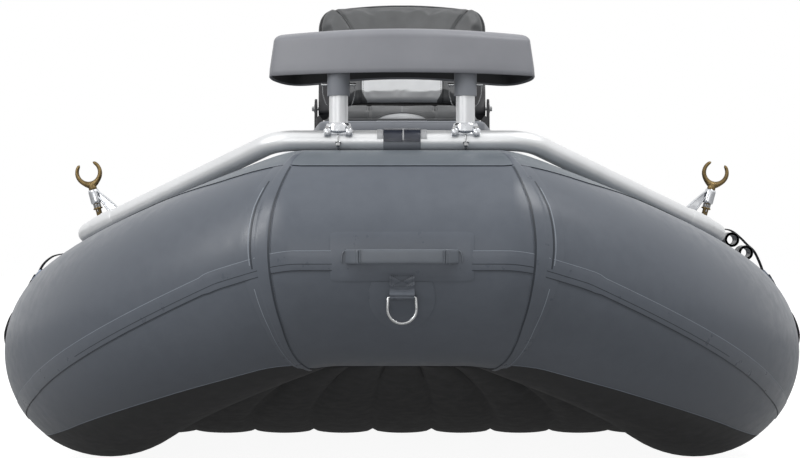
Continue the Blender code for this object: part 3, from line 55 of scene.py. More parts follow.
# Hull, the same sizes as the solids
BOW_Y = -1.98
HULL_LENGTH = 3.96
SIDE_TUBE_RADIUS = 0.2445
SIDE_X = 1.862 / 2 - SIDE_TUBE_RADIUS
BOW_TUBE_RADIUS = 0.2155
BOW_AXIS_HEIGHT = 0.468
BOW_HALF_STRAIGHT = 0.2676 * SIDE_X
MIDDLE_BEND = (0.714 * SIDE_X, 0.370, 0.354, 0.222)    # x, back, height and tube radius
QUARTER_LENGTH = 0.774
MIDDLE_BEND_EASE = 0.262
SIDE_BEND_EASE = 0.185
CREASE = 0.034                                         # rounding of the mitre on each side
HULL_SIDES = 96
PATCH_SUNK = 0.0015                                    # of a patch's underside below the tube's skin

# Frame and fittings, the same places as the solids
GAP = 0.0003
PIPE = 0.042
PIPE_WALL = 0.003
BAR_BACK = 0.235
BAR_Z = BOW_AXIS_HEIGHT + BOW_TUBE_RADIUS + PIPE / 2 + GAP
BAR_BEND_X = 0.3705 * SIDE_X
BAR_BEND_RADIUS = 0.088
RAIL_X = SIDE_X + 0.029
RAIL_Z = 2 * SIDE_TUBE_RADIUS + 0.012 + PIPE / 2
CORNER_BACK = 0.681
CORNER_RADIUS = 0.13
JOIN_SHARE = 0.81
SEATS = {"front": 1.02, "rower": 1.98}                 # back of each swivel's axis
SEAT_BAR_SPACING = 0.20
FOOT_BAR_BACK = 1.40
CLAMP_GAP = 0.004                                      # between a cross pipe's end and the rail
POST_X = 0.128
POST = 0.038
RIM_HEIGHT = 0.8385
BRACE_TOP = RIM_HEIGHT + 0.0905
HALF_WIDTH = 0.2735                                    # of the brace
PLATE_Z = BAR_Z + PIPE / 2 + GAP
PLATE = 0.006
SWIVEL_Z = PLATE_Z + PLATE + GAP
TURNING_Z = SWIVEL_Z + 0.011 + GAP
BASE_Z = TURNING_Z + 0.011
CUSHION_Z = BASE_Z + 0.030 + GAP
HINGE_Z = CUSHION_Z + 0.036 + 0.020
HINGE_AFT = 0.170                                      # of the swivel's axis
SEAT_WIDTH, SEAT_DEPTH = 0.460, 0.430
BACK_TOP = 0.290                                       # of a seat back's shell above its hinge
BACK_WIDTH = 0.427
BACK_LEAN = radians(12)
OAR_STAND_BACK = 1.52
OAR_STAND_LEAN = radians(15)
LOCK_BORE = 0.0255
STRAP_BACK = 0.970
STRAP_WIDTH = 0.025
STRAP = 0.0024
SIDE_RING_ANGLE = 10
SIDE_RING_WIRE = 0.0025
RING_HEIGHT = 0.395
HANDLE_HEIGHT = 0.472


def at(x, back, z):
    return Vector((x, BOW_Y + back, z))


def mix(low, high, share):
    """The value or point at a share of the way from one to another."""
    return low + (high - low) * share


def bend(start, corner, end, share):
    """The value or point along an eased bend."""
    return (1 - share) ** 2 * start + 2 * share * (1 - share) * corner + share ** 2 * end


def spread(start, end, count):
    """Evenly spaced values from start to end."""
    return [mix(start, end, k / (count - 1)) for k in range(count)]


def read_off(places, value):
    """The height of a line through (place, height) points, level past its ends."""
    for (a, low), (b, high) in zip(places, places[1:]):
        if value <= b:
            return mix(low, high, max(0.0, (value - a) / (b - a)))
    return places[-1][1]


# Materials

def linear(code):
    """An sRGB hex colour as linear RGBA."""
    values = [int(code[k:k + 2], 16) / 255 for k in (1, 3, 5)]
    return tuple([v / 12.92 if v <= 0.04045 else ((v + 0.055) / 1.055) ** 2.4 for v in values] + [1.0])


def add(tree, kind, inputs=(), **settings):
    """A node with its settings, and its inputs set or linked by name or number."""
    node = tree.nodes.new(kind)
    for name, value in settings.items():
        setattr(node, name, value)
    for name, value in dict(inputs).items():
        if isinstance(value, bpy.types.NodeSocket):
            tree.links.new(value, node.inputs[name])
        else:
            node.inputs[name].default_value = value
    return node


def new_material(name, **sockets):
    """A material and its node tree, with the shader's plain values set."""
    made = bpy.data.materials.new(name)
    made.use_nodes = True
    for socket, value in sockets.items():
        label = socket.replace("_", " ").title().replace("Ior", "IOR")
        made.node_tree.nodes["Principled BSDF"].inputs[label].default_value = value
    return made, made.node_tree


def wired(made, **outputs):
    """The material with node outputs linked to its shader's sockets."""
    shader = made.node_tree.nodes["Principled BSDF"]
    for socket, output in outputs.items():
        made.node_tree.links.new(output, shader.inputs[socket.replace("_", " ").title()])
    return made


def noise(tree, scale, detail, roughness=0.5, stretch=(1.0, 1.0, 1.0)):
    """A noise texture's value in the object's own coordinates."""
    here = add(tree, "ShaderNodeTexCoord").outputs["Object"]
    drawn = add(tree, "ShaderNodeMapping", {"Vector": here, "Scale": stretch}).outputs["Vector"]
    return add(tree, "ShaderNodeTexNoise", {
        "Vector": drawn, "Scale": scale, "Detail": detail, "Roughness": roughness}).outputs["Fac"]


def ramp(tree, factor, dark, light, start=0.3, end=0.7):
    """A colour ramp between two hex colours."""
    node = add(tree, "ShaderNodeValToRGB", {"Fac": factor})
    for element, place, code in zip(node.color_ramp.elements, (start, end), (dark, light)):
        element.position = place
        element.color = linear(code)
    return node.outputs["Color"]


def ranged(tree, value, low, high, start=0.3, end=0.7):
    """A value laid from one range over another."""
    return add(tree, "ShaderNodeMapRange", {
        "Value": value, "From Min": start, "From Max": end, "To Min": low, "To Max": high}).outputs["Result"]


def bumped(tree, height, strength, distance, **under):
    """A bump's normal, on top of another Normal if one is given."""
    return add(tree, "ShaderNodeBump", {
        "Height": height, "Strength": strength, "Distance": distance, **under}).outputs["Normal"]


def coated_fabric(name, dark, light, roughness, print_through=0.05):
    """PVC-coated polyester, calendered: satin, with the scrim just printing through and slow waves in its gloss."""
    made, tree = new_material(name, ior=1.52, specular_ior_level=0.32)
    slow, fine = noise(tree, 2.2, 3.0, 0.55), noise(tree, 38.0, 4.0, 0.6)
    both = add(tree, "ShaderNodeMath", {0: slow, 1: fine}, operation="ADD").outputs[0]
    share = add(tree, "ShaderNodeMath", {0: both, 1: 0.5}, operation="MULTIPLY").outputs[0]
    waves = bumped(tree, noise(tree, 6.0, 1.0), 0.10, 0.02)
    # the scrim's threads are 1.2 mm apart; drawn as a 4 mm mottle, because finer ones only shimmer at this size
    scrim = bumped(tree, noise(tree, 240.0, 1.0), print_through, 0.0005, Normal=waves)
    return wired(made, base_color=ramp(tree, share, dark, light, 0.35, 0.65), normal=scrim,
                 roughness=ranged(tree, fine, roughness - 0.05, roughness + 0.07))


def drawn_aluminium(name, stretch, light="#e6e7e8", roughness=0.38):
    """Anodised aluminium pipe, drawn: hair-fine lines along it and the milky sheen of its clear oxide."""
    made, tree = new_material(name, metallic=0.6)
    lines = noise(tree, 1.0, 3.0, stretch=stretch)
    return wired(made, base_color=ramp(tree, noise(tree, 9.0, 3.0), "#dcddde", light),
                 roughness=ranged(tree, lines, roughness - 0.05, roughness + 0.08),
                 normal=bumped(tree, lines, 0.05, 0.0006))


def cast_metal(name, dark, light, roughness, lumps, grain=260.0):
    """Sand-cast and tumbled metal: small lumps, and patches that are darker and rougher."""
    made, tree = new_material(name, metallic=1.0)
    clouds = noise(tree, 45.0, 3.0)
    return wired(made, base_color=ramp(tree, clouds, dark, light, 0.32, 0.68),
                 roughness=ranged(tree, clouds, roughness + 0.08, roughness - 0.05),
                 normal=bumped(tree, noise(tree, grain, 5.0, 0.6), lumps, 0.0008))


def moulded_plastic(name, dark, light, roughness, pebble=0.25, scale=900.0):
    """Moulded polyethylene: a fine pebbled face, a little uneven in tone."""
    made, tree = new_material(name, ior=1.5)
    clouds = noise(tree, 11.0, 4.0)
    return wired(made, base_color=ramp(tree, clouds, dark, light),
                 roughness=ranged(tree, clouds, roughness - 0.04, roughness + 0.06),
                 normal=bumped(tree, noise(tree, scale, 2.0), pebble, 0.0005))


def marine_vinyl(name, dark, light, roughness=0.46, panel=None):
    """Marine vinyl, embossed with a leather grain of cells about 2 mm across; panel is the sewn-in panel's colours."""
    made, tree = new_material(name, ior=1.5)
    here = add(tree, "ShaderNodeTexCoord").outputs["Object"]
    cells = add(tree, "ShaderNodeTexVoronoi", {"Vector": here, "Scale": 420.0, "Randomness": 1.0},
                feature="DISTANCE_TO_EDGE")
    clouds = noise(tree, 24.0, 4.0)
    colour = ramp(tree, clouds, dark, light)
    if panel:
        inside = add(tree, "ShaderNodeAttribute", attribute_name="panel")
        share = ranged(tree, inside.outputs["Fac"], 0.0, 1.0, -0.0006, 0.0006)
        colour = add(tree, "ShaderNodeMix", {"Factor": share, 6: colour, 7: ramp(tree, clouds, *panel)},
                     data_type="RGBA").outputs[2]
    return wired(made, base_color=colour, roughness=ranged(tree, clouds, roughness - 0.06, roughness + 0.06),
                 normal=bumped(tree, ranged(tree, cells.outputs["Distance"], 0.0, 1.0, 0.0, 0.25), 0.28, 0.0006))


def webbing_cloth(name, dark, light):
    """Polyester webbing: ribs across the strap from its own UV map, 2 mm apart."""
    made, tree = new_material(name, ior=1.5, roughness=0.72)
    own = add(tree, "ShaderNodeUVMap").outputs["UV"]
    ribs, cords = [add(tree, "ShaderNodeTexWave", {"Vector": own, "Scale": scale, "Distortion": uneven},
                       bands_direction=way).outputs["Fac"]
                   for way, scale, uneven in (("X", 80.0, 0.4), ("Y", 130.0, 0.2))]
    both = add(tree, "ShaderNodeMath", {0: ribs, 1: cords}, operation="MULTIPLY").outputs[0]
    return wired(made, base_color=ramp(tree, both, dark, light, 0.0, 0.8), normal=bumped(tree, both, 0.5, 0.0007))


def polished_steel(name, code, roughness):
    """Stainless wire or plate, polished, with faint handling marks."""
    made, tree = new_material(name, metallic=1.0, base_color=linear(code))
    return wired(made, roughness=ranged(tree, noise(tree, 300.0, 4.0), roughness, roughness + 0.15, 0.35, 0.75))


HULL_FABRIC = coated_fabric("coated_polyester_grey", "#575c64", "#5d626a", 0.36)
TAPE_FABRIC = coated_fabric("coated_polyester_tape", "#595e66", "#5f646c", 0.31)
CROWN_FABRIC = coated_fabric("coated_polyester_chafe_patch", "#60666c", "#676d73", 0.42, 0.12)
WEAR_FABRIC = coated_fabric("ribbed_wear_fabric_black", "#262627", "#2c2c2d", 0.60, 0.2)
FLOOR_FABRIC = coated_fabric("coated_polyester_floor_black", "#2c2c2d", "#323233", 0.60, 0.2)
GLUE_LINE = coated_fabric("seam_glue_dark", "#2e3238", "#343940", 0.45)
# Painted highlight: pale lines along the edges of the tapes and patches, standing in for the light that their raised
# edges catch
EDGE_HIGHLIGHT = coated_fabric("painted_edge_highlight", "#838992", "#8b9199", 0.45)
ALUMINIUM_ACROSS = drawn_aluminium("anodised_aluminium_across", (3.0, 700.0, 700.0))
ALUMINIUM_ALONG = drawn_aluminium("anodised_aluminium_along", (700.0, 3.0, 700.0))
ALUMINIUM_UPRIGHT = drawn_aluminium("anodised_aluminium_upright", (700.0, 700.0, 3.0), "#d2d3d5")
CAST_ALUMINIUM = cast_metal("cast_aluminium_tumbled", "#bfc1c5", "#dcdee1", 0.22, 0.06, 90.0)
BRONZE = cast_metal("cast_bronze", "#6a5a3e", "#85724f", 0.42, 0.08, 120.0)
STEEL = polished_steel("stainless_steel", "#a9aaab", 0.16)
ZINC = cast_metal("zinc_plated_steel", "#8b8d90", "#b0b2b6", 0.3, 0.1)
BRACE_PLASTIC = moulded_plastic("moulded_polyethylene_grey", "#7b7c81", "#838489", 0.5)
BASE_PLASTIC = moulded_plastic("moulded_base_grey", "#74777d", "#7d8086", 0.5)
# Painted shade: this near-black stands in for the shade inside the thigh brace, drawn as a liner under its shell
SHADE_LINER_BLACK = moulded_plastic("painted_shade_liner_black", "#3a3a3b", "#434344", 0.8, 0.4, 300.0)
BLACK_PLASTIC = moulded_plastic("glass_filled_nylon_black", "#17171a", "#1f1f22", 0.42)
ROD_TUBE_PLASTIC = moulded_plastic("moulded_nylon_dark_grey", "#4e4f52", "#595b5e", 0.30)
HANDLE_RUBBER = moulded_plastic("moulded_rubber_grey", "#5c6168", "#676c73", 0.38, 0.2, 500.0)
DARK_VINYL = marine_vinyl("marine_vinyl_charcoal", "#444546", "#505152")
PALE_VINYL = marine_vinyl("marine_vinyl_pale_grey", "#9b9c9e", "#a7a8aa")
PANELLED_VINYL = marine_vinyl("marine_vinyl_panelled", "#4f5051", "#5b5c5d", panel=("#cacbcc", "#d4d5d6"))
POWDER_BLACK = moulded_plastic("powder_coated_steel_black", "#19191b", "#222225", 0.38, 0.15, 500.0)
BUCKLE_ZINC = cast_metal("zinc_buckle", "#5d6470", "#7b8290", 0.34, 0.1)
STRAP_WEBBING = webbing_cloth("polyester_webbing_black", "#101012", "#242427")
THREAD = webbing_cloth("bonded_thread_grey", "#2b2c2e", "#3a3b3d")
GUARD_VINYL = marine_vinyl("glossy_guard_vinyl", "#2a2d36", "#363a45", 0.12)


# Meshes

def finished(name, mesh, material, body="raft", replaces=None, smooth=35, matrix=AS_IS, fix_normals=True):
    """A piece from a bmesh moved by a matrix, riding on a body, with its place in its mesh."""
    turned(mesh, matrix)
    if fix_normals:
        bmesh.ops.recalc_face_normals(mesh, faces=mesh.faces)
    data = bpy.data.meshes.new(name)
    mesh.to_mesh(data)
    mesh.free()
    data.materials.append(material)
    data.shade_smooth()
    data.set_sharp_from_angle(angle=radians(smooth))
    piece = bpy.data.objects.new(name, data)
    bpy.context.scene.collection.objects.link(piece)
    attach(piece, body)
    if replaces:
        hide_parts(replaces)
    return piece


def turned(mesh, matrix):
    """The mesh moved by a matrix, with its faces still outwards."""
    bmesh.ops.transform(mesh, matrix=matrix, verts=mesh.verts)
    if matrix.determinant() < 0:
        bmesh.ops.reverse_faces(mesh, faces=mesh.faces)
    return mesh


def joined(*meshes):
    """One bmesh of several closed shells."""
    whole = bmesh.new()
    for mesh in meshes:
        data = bpy.data.meshes.new("shell")
        mesh.to_mesh(data)
        mesh.free()
        whole.from_mesh(data)
        bpy.data.meshes.remove(data)
    return whole


def skin(rings, closed=False):
    """A surface through rings of equal count; its ends are closed flat unless it is a loop."""
    mesh = bmesh.new()
    rows = [[mesh.verts.new(p) for p in ring] for ring in rings]
    pairs = list(zip(rows, rows[1:]))
    if closed:
        pairs.append((rows[-1], rows[0]))
    else:
        mesh.faces.new(rows[0][::-1])
        mesh.faces.new(rows[-1])
    for low, high in pairs:
        for k in range(len(low)):
            mesh.faces.new((low[k - 1], low[k], high[k], high[k - 1]))
    bmesh.ops.recalc_face_normals(mesh, faces=mesh.faces)
    return mesh


def sheet_shell(top, bottom):
    """A thin closed shell from two matching grids of points, such as a patch on a tube."""
    mesh = bmesh.new()
    upper, lower = [[[mesh.verts.new(p) for p in row] for row in grid] for grid in (top, bottom)]
    rows, columns = len(top), len(top[0])
    for i in range(rows - 1):
        for j in range(columns - 1):
            mesh.faces.new((upper[i][j], upper[i + 1][j], upper[i + 1][j + 1], upper[i][j + 1]))
            mesh.faces.new((lower[i][j + 1], lower[i + 1][j + 1], lower[i + 1][j], lower[i][j]))
    edge = [(i, 0) for i in range(rows)] + [(rows - 1, j) for j in range(1, columns)]
    edge += [(i, columns - 1) for i in range(rows - 2, -1, -1)] + [(0, j) for j in range(columns - 2, 0, -1)]
    for (i, j), (m, n) in zip(edge, edge[1:] + edge[:1]):
        mesh.faces.new((upper[i][j], lower[i][j], lower[m][n], upper[m][n]))
    bmesh.ops.recalc_face_normals(mesh, faces=mesh.faces)
    return mesh


def rounded_path(corners, radius, step=radians(4)):
    """A path of straight runs with an arc of one radius at each inner corner."""
    path = [corners[0]]
    for before, corner, after in zip(corners, corners[1:], corners[2:]):
        to_before = (before - corner).normalized()
        to_after = (after - corner).normalized()
        turn = pi - acos(max(-1.0, min(1.0, to_before.dot(to_after))))
        if turn < radians(1):
            path.append(corner)
            continue
        start = corner + to_before * radius * tan(turn / 2)
        centre = corner + (to_before + to_after).normalized() * (radius / cos(turn / 2))
        first = (start - centre).normalized()
        for angle in spread(0, turn, max(3, round(turn / step)) + 1):
            path.append(centre + radius * (cos(angle) * first - sin(angle) * to_before))
    path.append(corners[-1])
    return path


def split_path(path, limit):
    """Adds points on long straight runs."""
    fine = []
    for a, b in zip(path, path[1:]):
        steps = max(1, int((b - a).length / limit))
        fine += [a.lerp(b, k / steps) for k in range(steps)]
    return fine + [path[-1]]


def smooth_line(points, spacing=0.004):
    """A smooth curve through a few points, as a Catmull-Rom spline."""
    ends = [points[0] * 2 - points[1], *points, points[-1] * 2 - points[-2]]
    line = []
    for a, b, c, d in zip(ends, ends[1:], ends[2:], ends[3:]):
        steps = max(2, int((c - b).length / spacing))
        for t in [k / steps for k in range(steps)]:
            line.append(0.5 * (2 * b + (c - a) * t + (2 * a - 5 * b + 4 * c - d) * t * t
                               + (3 * b - a - 3 * c + d) * t ** 3))
    return line + [points[-1]]


def ways_along(path, closed=False):
    """The direction of a path at each of its points."""
    last = len(path) - 1
    around = [(path[k - 1], path[(k + 1) % len(path)]) if closed else (path[max(k - 1, 0)], path[min(k + 1, last)])
              for k in range(len(path))]
    return [(after - before).normalized() for before, after in around]


def frames_along(path, closed=False, first_up=UP):
    """Direction, side and up at each point of a path, carried along without twist."""
    ways = ways_along(path, closed)
    up = first_up - first_up.dot(ways[0]) * ways[0]
    if up.length < 0.05:
        up = AFT - ways[0].y * ways[0]
    up.normalize()
    result = []
    for way in ways:
        up = (up - up.dot(way) * way).normalized()
        result.append((way, up.cross(way).normalized(), up))
    return result


def circle(centre, radius, first, second, sides):
    """Points round a circle, from its first direction towards its second."""
    return [centre + radius * (cos(2 * pi * k / sides) * first + sin(2 * pi * k / sides) * second)
            for k in range(sides)]


def tube(path, radius, sides=32, closed=False, round_ends=False, first_up=UP):
    """A round rod along a path."""
    frames = frames_along(path, closed, first_up)
    rings = [circle(point, radius, side, up, sides) for point, (_, side, up) in zip(path, frames)]
    if round_ends:
        for end, sign in ((0, -1), (-1, 1)):
            way, side, up = frames[end]
            dome = [circle(path[end] + way * sign * radius * sin(a), radius * cos(a), side, up, sides)
                    for a in (radians(30), radians(60), radians(84))]
            rings = rings + dome if end else dome[::-1] + rings
    return skin(rings, closed)


def hollow_tube(path, radius, bore, sides=48):
    """A pipe with open ends."""
    outer, inner = [[circle(point, r, side, up, sides) for point, (_, side, up) in zip(path, frames_along(path))]
                    for r in (radius, bore)]
    return skin(outer + inner[::-1], closed=True)


def lathe(origin, axis, profile, sides=32):
    """A turned shape: profile is (distance along the axis, radius), closed at both ends."""
    axis = Vector(axis).normalized()
    first = axis.orthogonal().normalized()
    return skin([circle(Vector(origin) + axis * along, radius, first, axis.cross(first), sides)
                 for along, radius in profile])


def inset(outline, distance):
    """An anticlockwise outline drawn in by a distance."""
    result = []
    for (bx, by), (x, y), (ax, ay) in zip(outline[-1:] + outline, outline, outline[1:] + outline[:1]):
        normal = Vector((by - ay, ax - bx)).normalized()
        result.append((x + normal.x * distance, y + normal.y * distance))
    return result


def slab(outline, low, high, ease=0.0, place=lambda x, y, z: Vector((x, y, z))):
    """A flat solid on an outline of (x, y) points, with eased edges."""
    levels = [(0.0, low), (0.0, high)]
    if ease:
        near = ease * 0.3
        levels = [(ease, low), (near, low + near), (0.0, low + ease),
                  (0.0, high - ease), (near, high - near), (ease, high)]
    return skin([[place(x, y, z) for x, y in inset(outline, drawn)] for drawn, z in levels])


def rounded_outline(width, depth, radius, centre=(0.0, 0.0), steps=8):
    """A rectangle with round corners, anticlockwise, as (x, y) points."""
    points = []
    for quarter, (sx, sy) in enumerate(((1, 1), (-1, 1), (-1, -1), (1, -1))):
        cx = centre[0] + sx * (width / 2 - radius)
        cy = centre[1] + sy * (depth / 2 - radius)
        points += [(cx + radius * cos(a), cy + radius * sin(a))
                   for a in spread(pi / 2 * quarter, pi / 2 * (quarter + 1), steps + 1)]
    return points


def ribbon(path, normals, width, thickness):
    """A strap along a path, with a UV map in metres along and across it."""
    half, bevel, rise = width / 2, 0.0012, thickness * 0.7
    profile = ((-half, 0.0), (-half + 0.0015, -0.0002), (half - 0.0015, -0.0002), (half, 0.0),
               (half, rise), (half - bevel, thickness), (-half + bevel, thickness), (-half, rise))
    along = [0.0]
    for a, b in zip(path, path[1:]):
        along.append(along[-1] + (b - a).length)
    mesh = skin([[point + AFT * a + normal * b for a, b in profile] for point, normal in zip(path, normals)])
    mesh.verts.index_update()
    uv = mesh.loops.layers.uv.new("UVMap")
    for loop in [loop for face in mesh.faces if len(face.verts) == 4 for loop in face.loops]:
        row, column = divmod(loop.vert.index, len(profile))
        loop[uv].uv = (along[row], profile[column][0])
    return mesh


# Stitching, set out by geometry nodes

def stitch_tree():
    """Short rounded stitches at equal steps along every path, each turned along it."""
    tree = bpy.data.node_groups.new("stitch_rows", "GeometryNodeTree")
    sockets = {}
    for name, kind in (("Paths", "Geometry"), ("Spacing", "Float"), ("Length", "Float"), ("Thickness", "Float"),
                       ("Thread", "Material")):
        made = tree.interface.new_socket(name, in_out="INPUT", socket_type="NodeSocket" + kind)
        sockets[name] = made.identifier
    tree.interface.new_socket("Stitches", in_out="OUTPUT", socket_type="NodeSocketGeometry")
    given = tree.nodes.new("NodeGroupInput").outputs
    result = tree.nodes.new("NodeGroupOutput")
    curve = add(tree, "GeometryNodeMeshToCurve", {"Mesh": given["Paths"]})
    even = add(tree, "GeometryNodeResampleCurve", {"Curve": curve.outputs["Curve"], "Length": given["Spacing"]},
               mode="LENGTH")
    bead = add(tree, "GeometryNodeMeshUVSphere", {"Segments": 6, "Rings": 4, "Radius": 0.5})
    way = add(tree, "GeometryNodeInputTangent")
    turn = add(tree, "FunctionNodeAlignRotationToVector", {"Vector": way.outputs["Tangent"]}, axis="X")
    size = add(tree, "ShaderNodeCombineXYZ", {"X": given["Length"], "Y": given["Thickness"], "Z": given["Thickness"]})
    set_out = add(tree, "GeometryNodeInstanceOnPoints", {
        "Points": even.outputs["Curve"], "Instance": bead.outputs["Mesh"], "Rotation": turn.outputs["Rotation"],
        "Scale": size.outputs["Vector"]})
    real = add(tree, "GeometryNodeRealizeInstances", {"Geometry": set_out.outputs["Instances"]})
    dyed = add(tree, "GeometryNodeSetMaterial", {"Geometry": real.outputs["Geometry"], "Material": given["Thread"]})
    tree.links.new(dyed.outputs["Geometry"], result.inputs["Stitches"])
    return tree, sockets


STITCHES, STITCH_SOCKETS = stitch_tree()


def evaluated_mesh(holder):
    """The mesh of an object with its modifiers applied."""
    return bpy.data.meshes.new_from_object(holder.evaluated_get(bpy.context.evaluated_depsgraph_get()))


def held(name, mesh):
    """An object that holds a bmesh while modifiers work on it."""
    data = bpy.data.meshes.new(name)
    mesh.to_mesh(data)
    mesh.free()
    holder = bpy.data.objects.new(name, data)
    bpy.context.scene.collection.objects.link(holder)
    return holder


def taken_back(holder, *meshes):
    """The last mesh as a bmesh; the object and all the meshes are removed."""
    result = bmesh.new()
    result.from_mesh(meshes[-1])
    bpy.data.objects.remove(holder)
    for mesh in meshes:
        bpy.data.meshes.remove(mesh)
    return result


def stitched(name, rows, body="raft", matrix=AS_IS, spacing=0.0048, length=0.0036, thickness=0.0009):
    """Rows of stitches along paths, riding on a body."""
    paths = bmesh.new()
    for row in rows:
        verts = [paths.verts.new(matrix @ point) for point in row]
        for pair in zip(verts, verts[1:]):
            paths.edges.new(pair)
    holder = held("paths", paths)
    nodes = holder.modifiers.new("stitches", "NODES")
    nodes.node_group = STITCHES
    for key, value in (("Spacing", spacing), ("Length", length), ("Thickness", thickness), ("Thread", THREAD)):
        nodes[STITCH_SOCKETS[key]] = value
    finished(name, taken_back(holder, holder.data, evaluated_mesh(holder)), THREAD, body, smooth=80)


# The hull's surface

def hull_stations():
    """Rings of the port bow quarter past the mitre: centre, radius, direction and distance along the tube."""
    x, back, z, middle_radius = MIDDLE_BEND
    mitre = at(BOW_HALF_STRAIGHT, BOW_TUBE_RADIUS, BOW_AXIS_HEIGHT)
    middle = at(x, back, z)
    side = at(SIDE_X, QUARTER_LENGTH, SIDE_TUBE_RADIUS)
    stations = [(mitre, BOW_TUBE_RADIUS, (middle - mitre).normalized())]
    for corner, before, after, ease, radius_before, radius_here, radius_after in (
            (middle, mitre, side, MIDDLE_BEND_EASE, BOW_TUBE_RADIUS, middle_radius, SIDE_TUBE_RADIUS),
            (side, middle, side + AFT, SIDE_BEND_EASE, middle_radius, SIDE_TUBE_RADIUS, SIDE_TUBE_RADIUS)):
        start = corner + (before - corner).normalized() * ease
        end = corner + (after - corner).normalized() * ease
        start_radius = mix(radius_here, radius_before, ease / (corner - before).length)
        end_radius = mix(radius_here, radius_after, ease / (after - corner).length)
        for t in spread(0, 1, 15):
            stations.append((bend(start, corner, end, t), bend(start_radius, radius_here, end_radius, t),
                             mix(corner - start, end - corner, t).normalized()))
    stations.append((Vector((SIDE_X, 0, SIDE_TUBE_RADIUS)), SIDE_TUBE_RADIUS, AFT))
    walked = BOW_HALF_STRAIGHT
    result = [(*stations[0], walked)]
    for before, here in zip(stations, stations[1:]):
        walked += (here[0] - before[0]).length
        result.append((*here, walked))
    return result


STATIONS = hull_stations()
MITRE_NORMAL = (ACROSS + STATIONS[0][2]).normalized()
QUARTER_END = STATIONS[-2][3]
HULL_MIDDLE = STATIONS[-1][3]


def ring_point(centre, radius, way, phi):
    """A point of a ring: phi is 0 inboard, 90 degrees at the top and 180 outboard."""
    second = (UP - UP.dot(way) * way).normalized()
    return centre + radius * (cos(phi) * second.cross(way) + sin(phi) * second)


def mitre_point(phi, lift=0.0):
    """Where the bow tube and the quarter meet."""
    centre, radius, _, _ = STATIONS[0]
    offset = ring_point(Vector(), radius + lift, ACROSS, phi)
    return centre + offset - ACROSS * (offset.dot(MITRE_NORMAL) / MITRE_NORMAL.x)


def plain_hull_point(u, phi, lift):
    """The port bow quarter at a distance u from the middle of the bow along the tube, before its crease is eased."""
    near = mitre_point(phi, lift)
    start = near.x
    if u <= start:
        return Vector((u, near.y, near.z))
    index = next((k for k, station in enumerate(STATIONS[:-1]) if k and u <= station[3]), len(STATIONS) - 1)
    if index > 1:
        centre, radius, way, start = STATIONS[index - 1]
        near = ring_point(centre, radius + lift, way, phi)
    centre, radius, way, end = STATIONS[index]
    return near.lerp(ring_point(centre, radius + lift, way, phi), (u - start) / (end - start))


def hull_point(u, phi, lift=0.0):
    """The bow half of the hull's surface; u is negative to starboard, and the mitre's crease is eased."""
    meet = mitre_point(phi, lift).x
    if abs(abs(u) - meet) < CREASE:
        near, corner, far = [plain_hull_point(meet + off, phi, lift) for off in (-CREASE, 0.0, CREASE)]
        point = bend(near, corner, far, (abs(u) - meet + CREASE) / (2 * CREASE))
    else:
        point = plain_hull_point(abs(u), phi, lift)
    return MIRROR_X @ point if u < 0 else point


def hull_rows(phi):
    """Distances along the port bow quarter at which the hull's rings lie, following the mitre."""
    meet = mitre_point(phi).x
    return (spread(0.0, meet - CREASE, 6) + spread(meet - CREASE, meet + CREASE, 11)[1:]
            + spread(meet + CREASE, STATIONS[1][3], 5)[1:] + [station[3] for station in STATIONS[2:-1]])


def build_hull():
    """The air chambers' smooth skins, which meet under the baffle tapes."""
    angles = [2 * pi * k / HULL_SIDES for k in range(HULL_SIDES)]
    for end, matrix in ENDS:
        columns = []
        for phi in angles:
            port = [hull_point(u, phi) for u in hull_rows(phi)]
            columns.append([MIRROR_X @ p for p in port[:0:-1]] + port)
        finished(f"{end}_tube_skin", skin(zip(*columns)), HULL_FABRIC, replaces=f"{end}_chamber", smooth=60,
                 matrix=matrix)
    for side, matrix in SIDES:
        rings = [[hull_point(u, phi) for phi in angles] for u in spread(QUARTER_END, HULL_MIDDLE, 13)]
        rings += [[MIRROR_Y @ p for p in ring] for ring in rings[-2::-1]]
        finished(f"{side}_tube_skin", skin(rings), HULL_FABRIC, replaces=f"{side}_chamber", smooth=60, matrix=matrix)


# Seams, glued on the hull

HALF_TAPE = 0.0185 / SIDE_TUBE_RADIUS                  # half the long tape's width, as an angle
TAPE_REACH = QUARTER_END - 0.035
CROWN_REACH = 0.66
BAFFLE_HALF = 0.03
WEAR_EDGE = ((0.15, 268), (0.19, 262), (0.215, 253), (0.237, 246), (0.30, 242), (0.45, 239), (0.70, 236), (1.08, 232),
             (9, 231.6))                               # the dark panel's upper edge turns under the bow at the mitre
SEAM_OFF_MITRE = ((96, -0.040), (124, -0.026), (149, -0.011), (173, 0.0), (194, 0.009), (215, 0.019), (243, 0.039),
                  (268, 0.050))                        # the mitre's seam leans a little


def tape_middle(u):
    """Angle round the tube of the long seam's tape: level across the bow, then lower along each quarter."""
    return radians(181 + 41.5 * max(0.0, min(u, QUARTER_END) - 0.235))


def tape_half(u):
    return HALF_TAPE * (1.0 if u > 0.3 else 1.14)


def crown_edge(u):
    """Front edge of the chafe patch over the tube's top."""
    return radians(123.5 - 15.5 * max(0.0, min(1.0, (u - 0.20) / 0.24)))


def patch(shape, steps, lift):
    """A fabric patch on the hull; shape gives the distance u and angle phi at shares of its length and width."""
    top, bottom = [], []
    for a in spread(0, 1, steps[0] + 1):
        spots = [(*shape(a, b), lift * (0.6 if a in (0, 1) or b in (0, 1) else 1.0))
                 for b in spread(0, 1, steps[1] + 1)]
        top.append([hull_point(u, phi, off) for u, phi, off in spots])
        bottom.append([hull_point(u, phi, -PATCH_SUNK) for u, phi, _ in spots])
    return sheet_shell(top, bottom)


def band(low_at, high_at, start, end, steps, lift, crowd=1.0):
    """A band along the tube between two angles that depend on the distance from the middle of the bow."""
    def shape(a, b):
        u = mix(start, end, a ** crowd)
        return u, mix(low_at(abs(u)), high_at(abs(u)), b)
    return patch(shape, steps, lift)


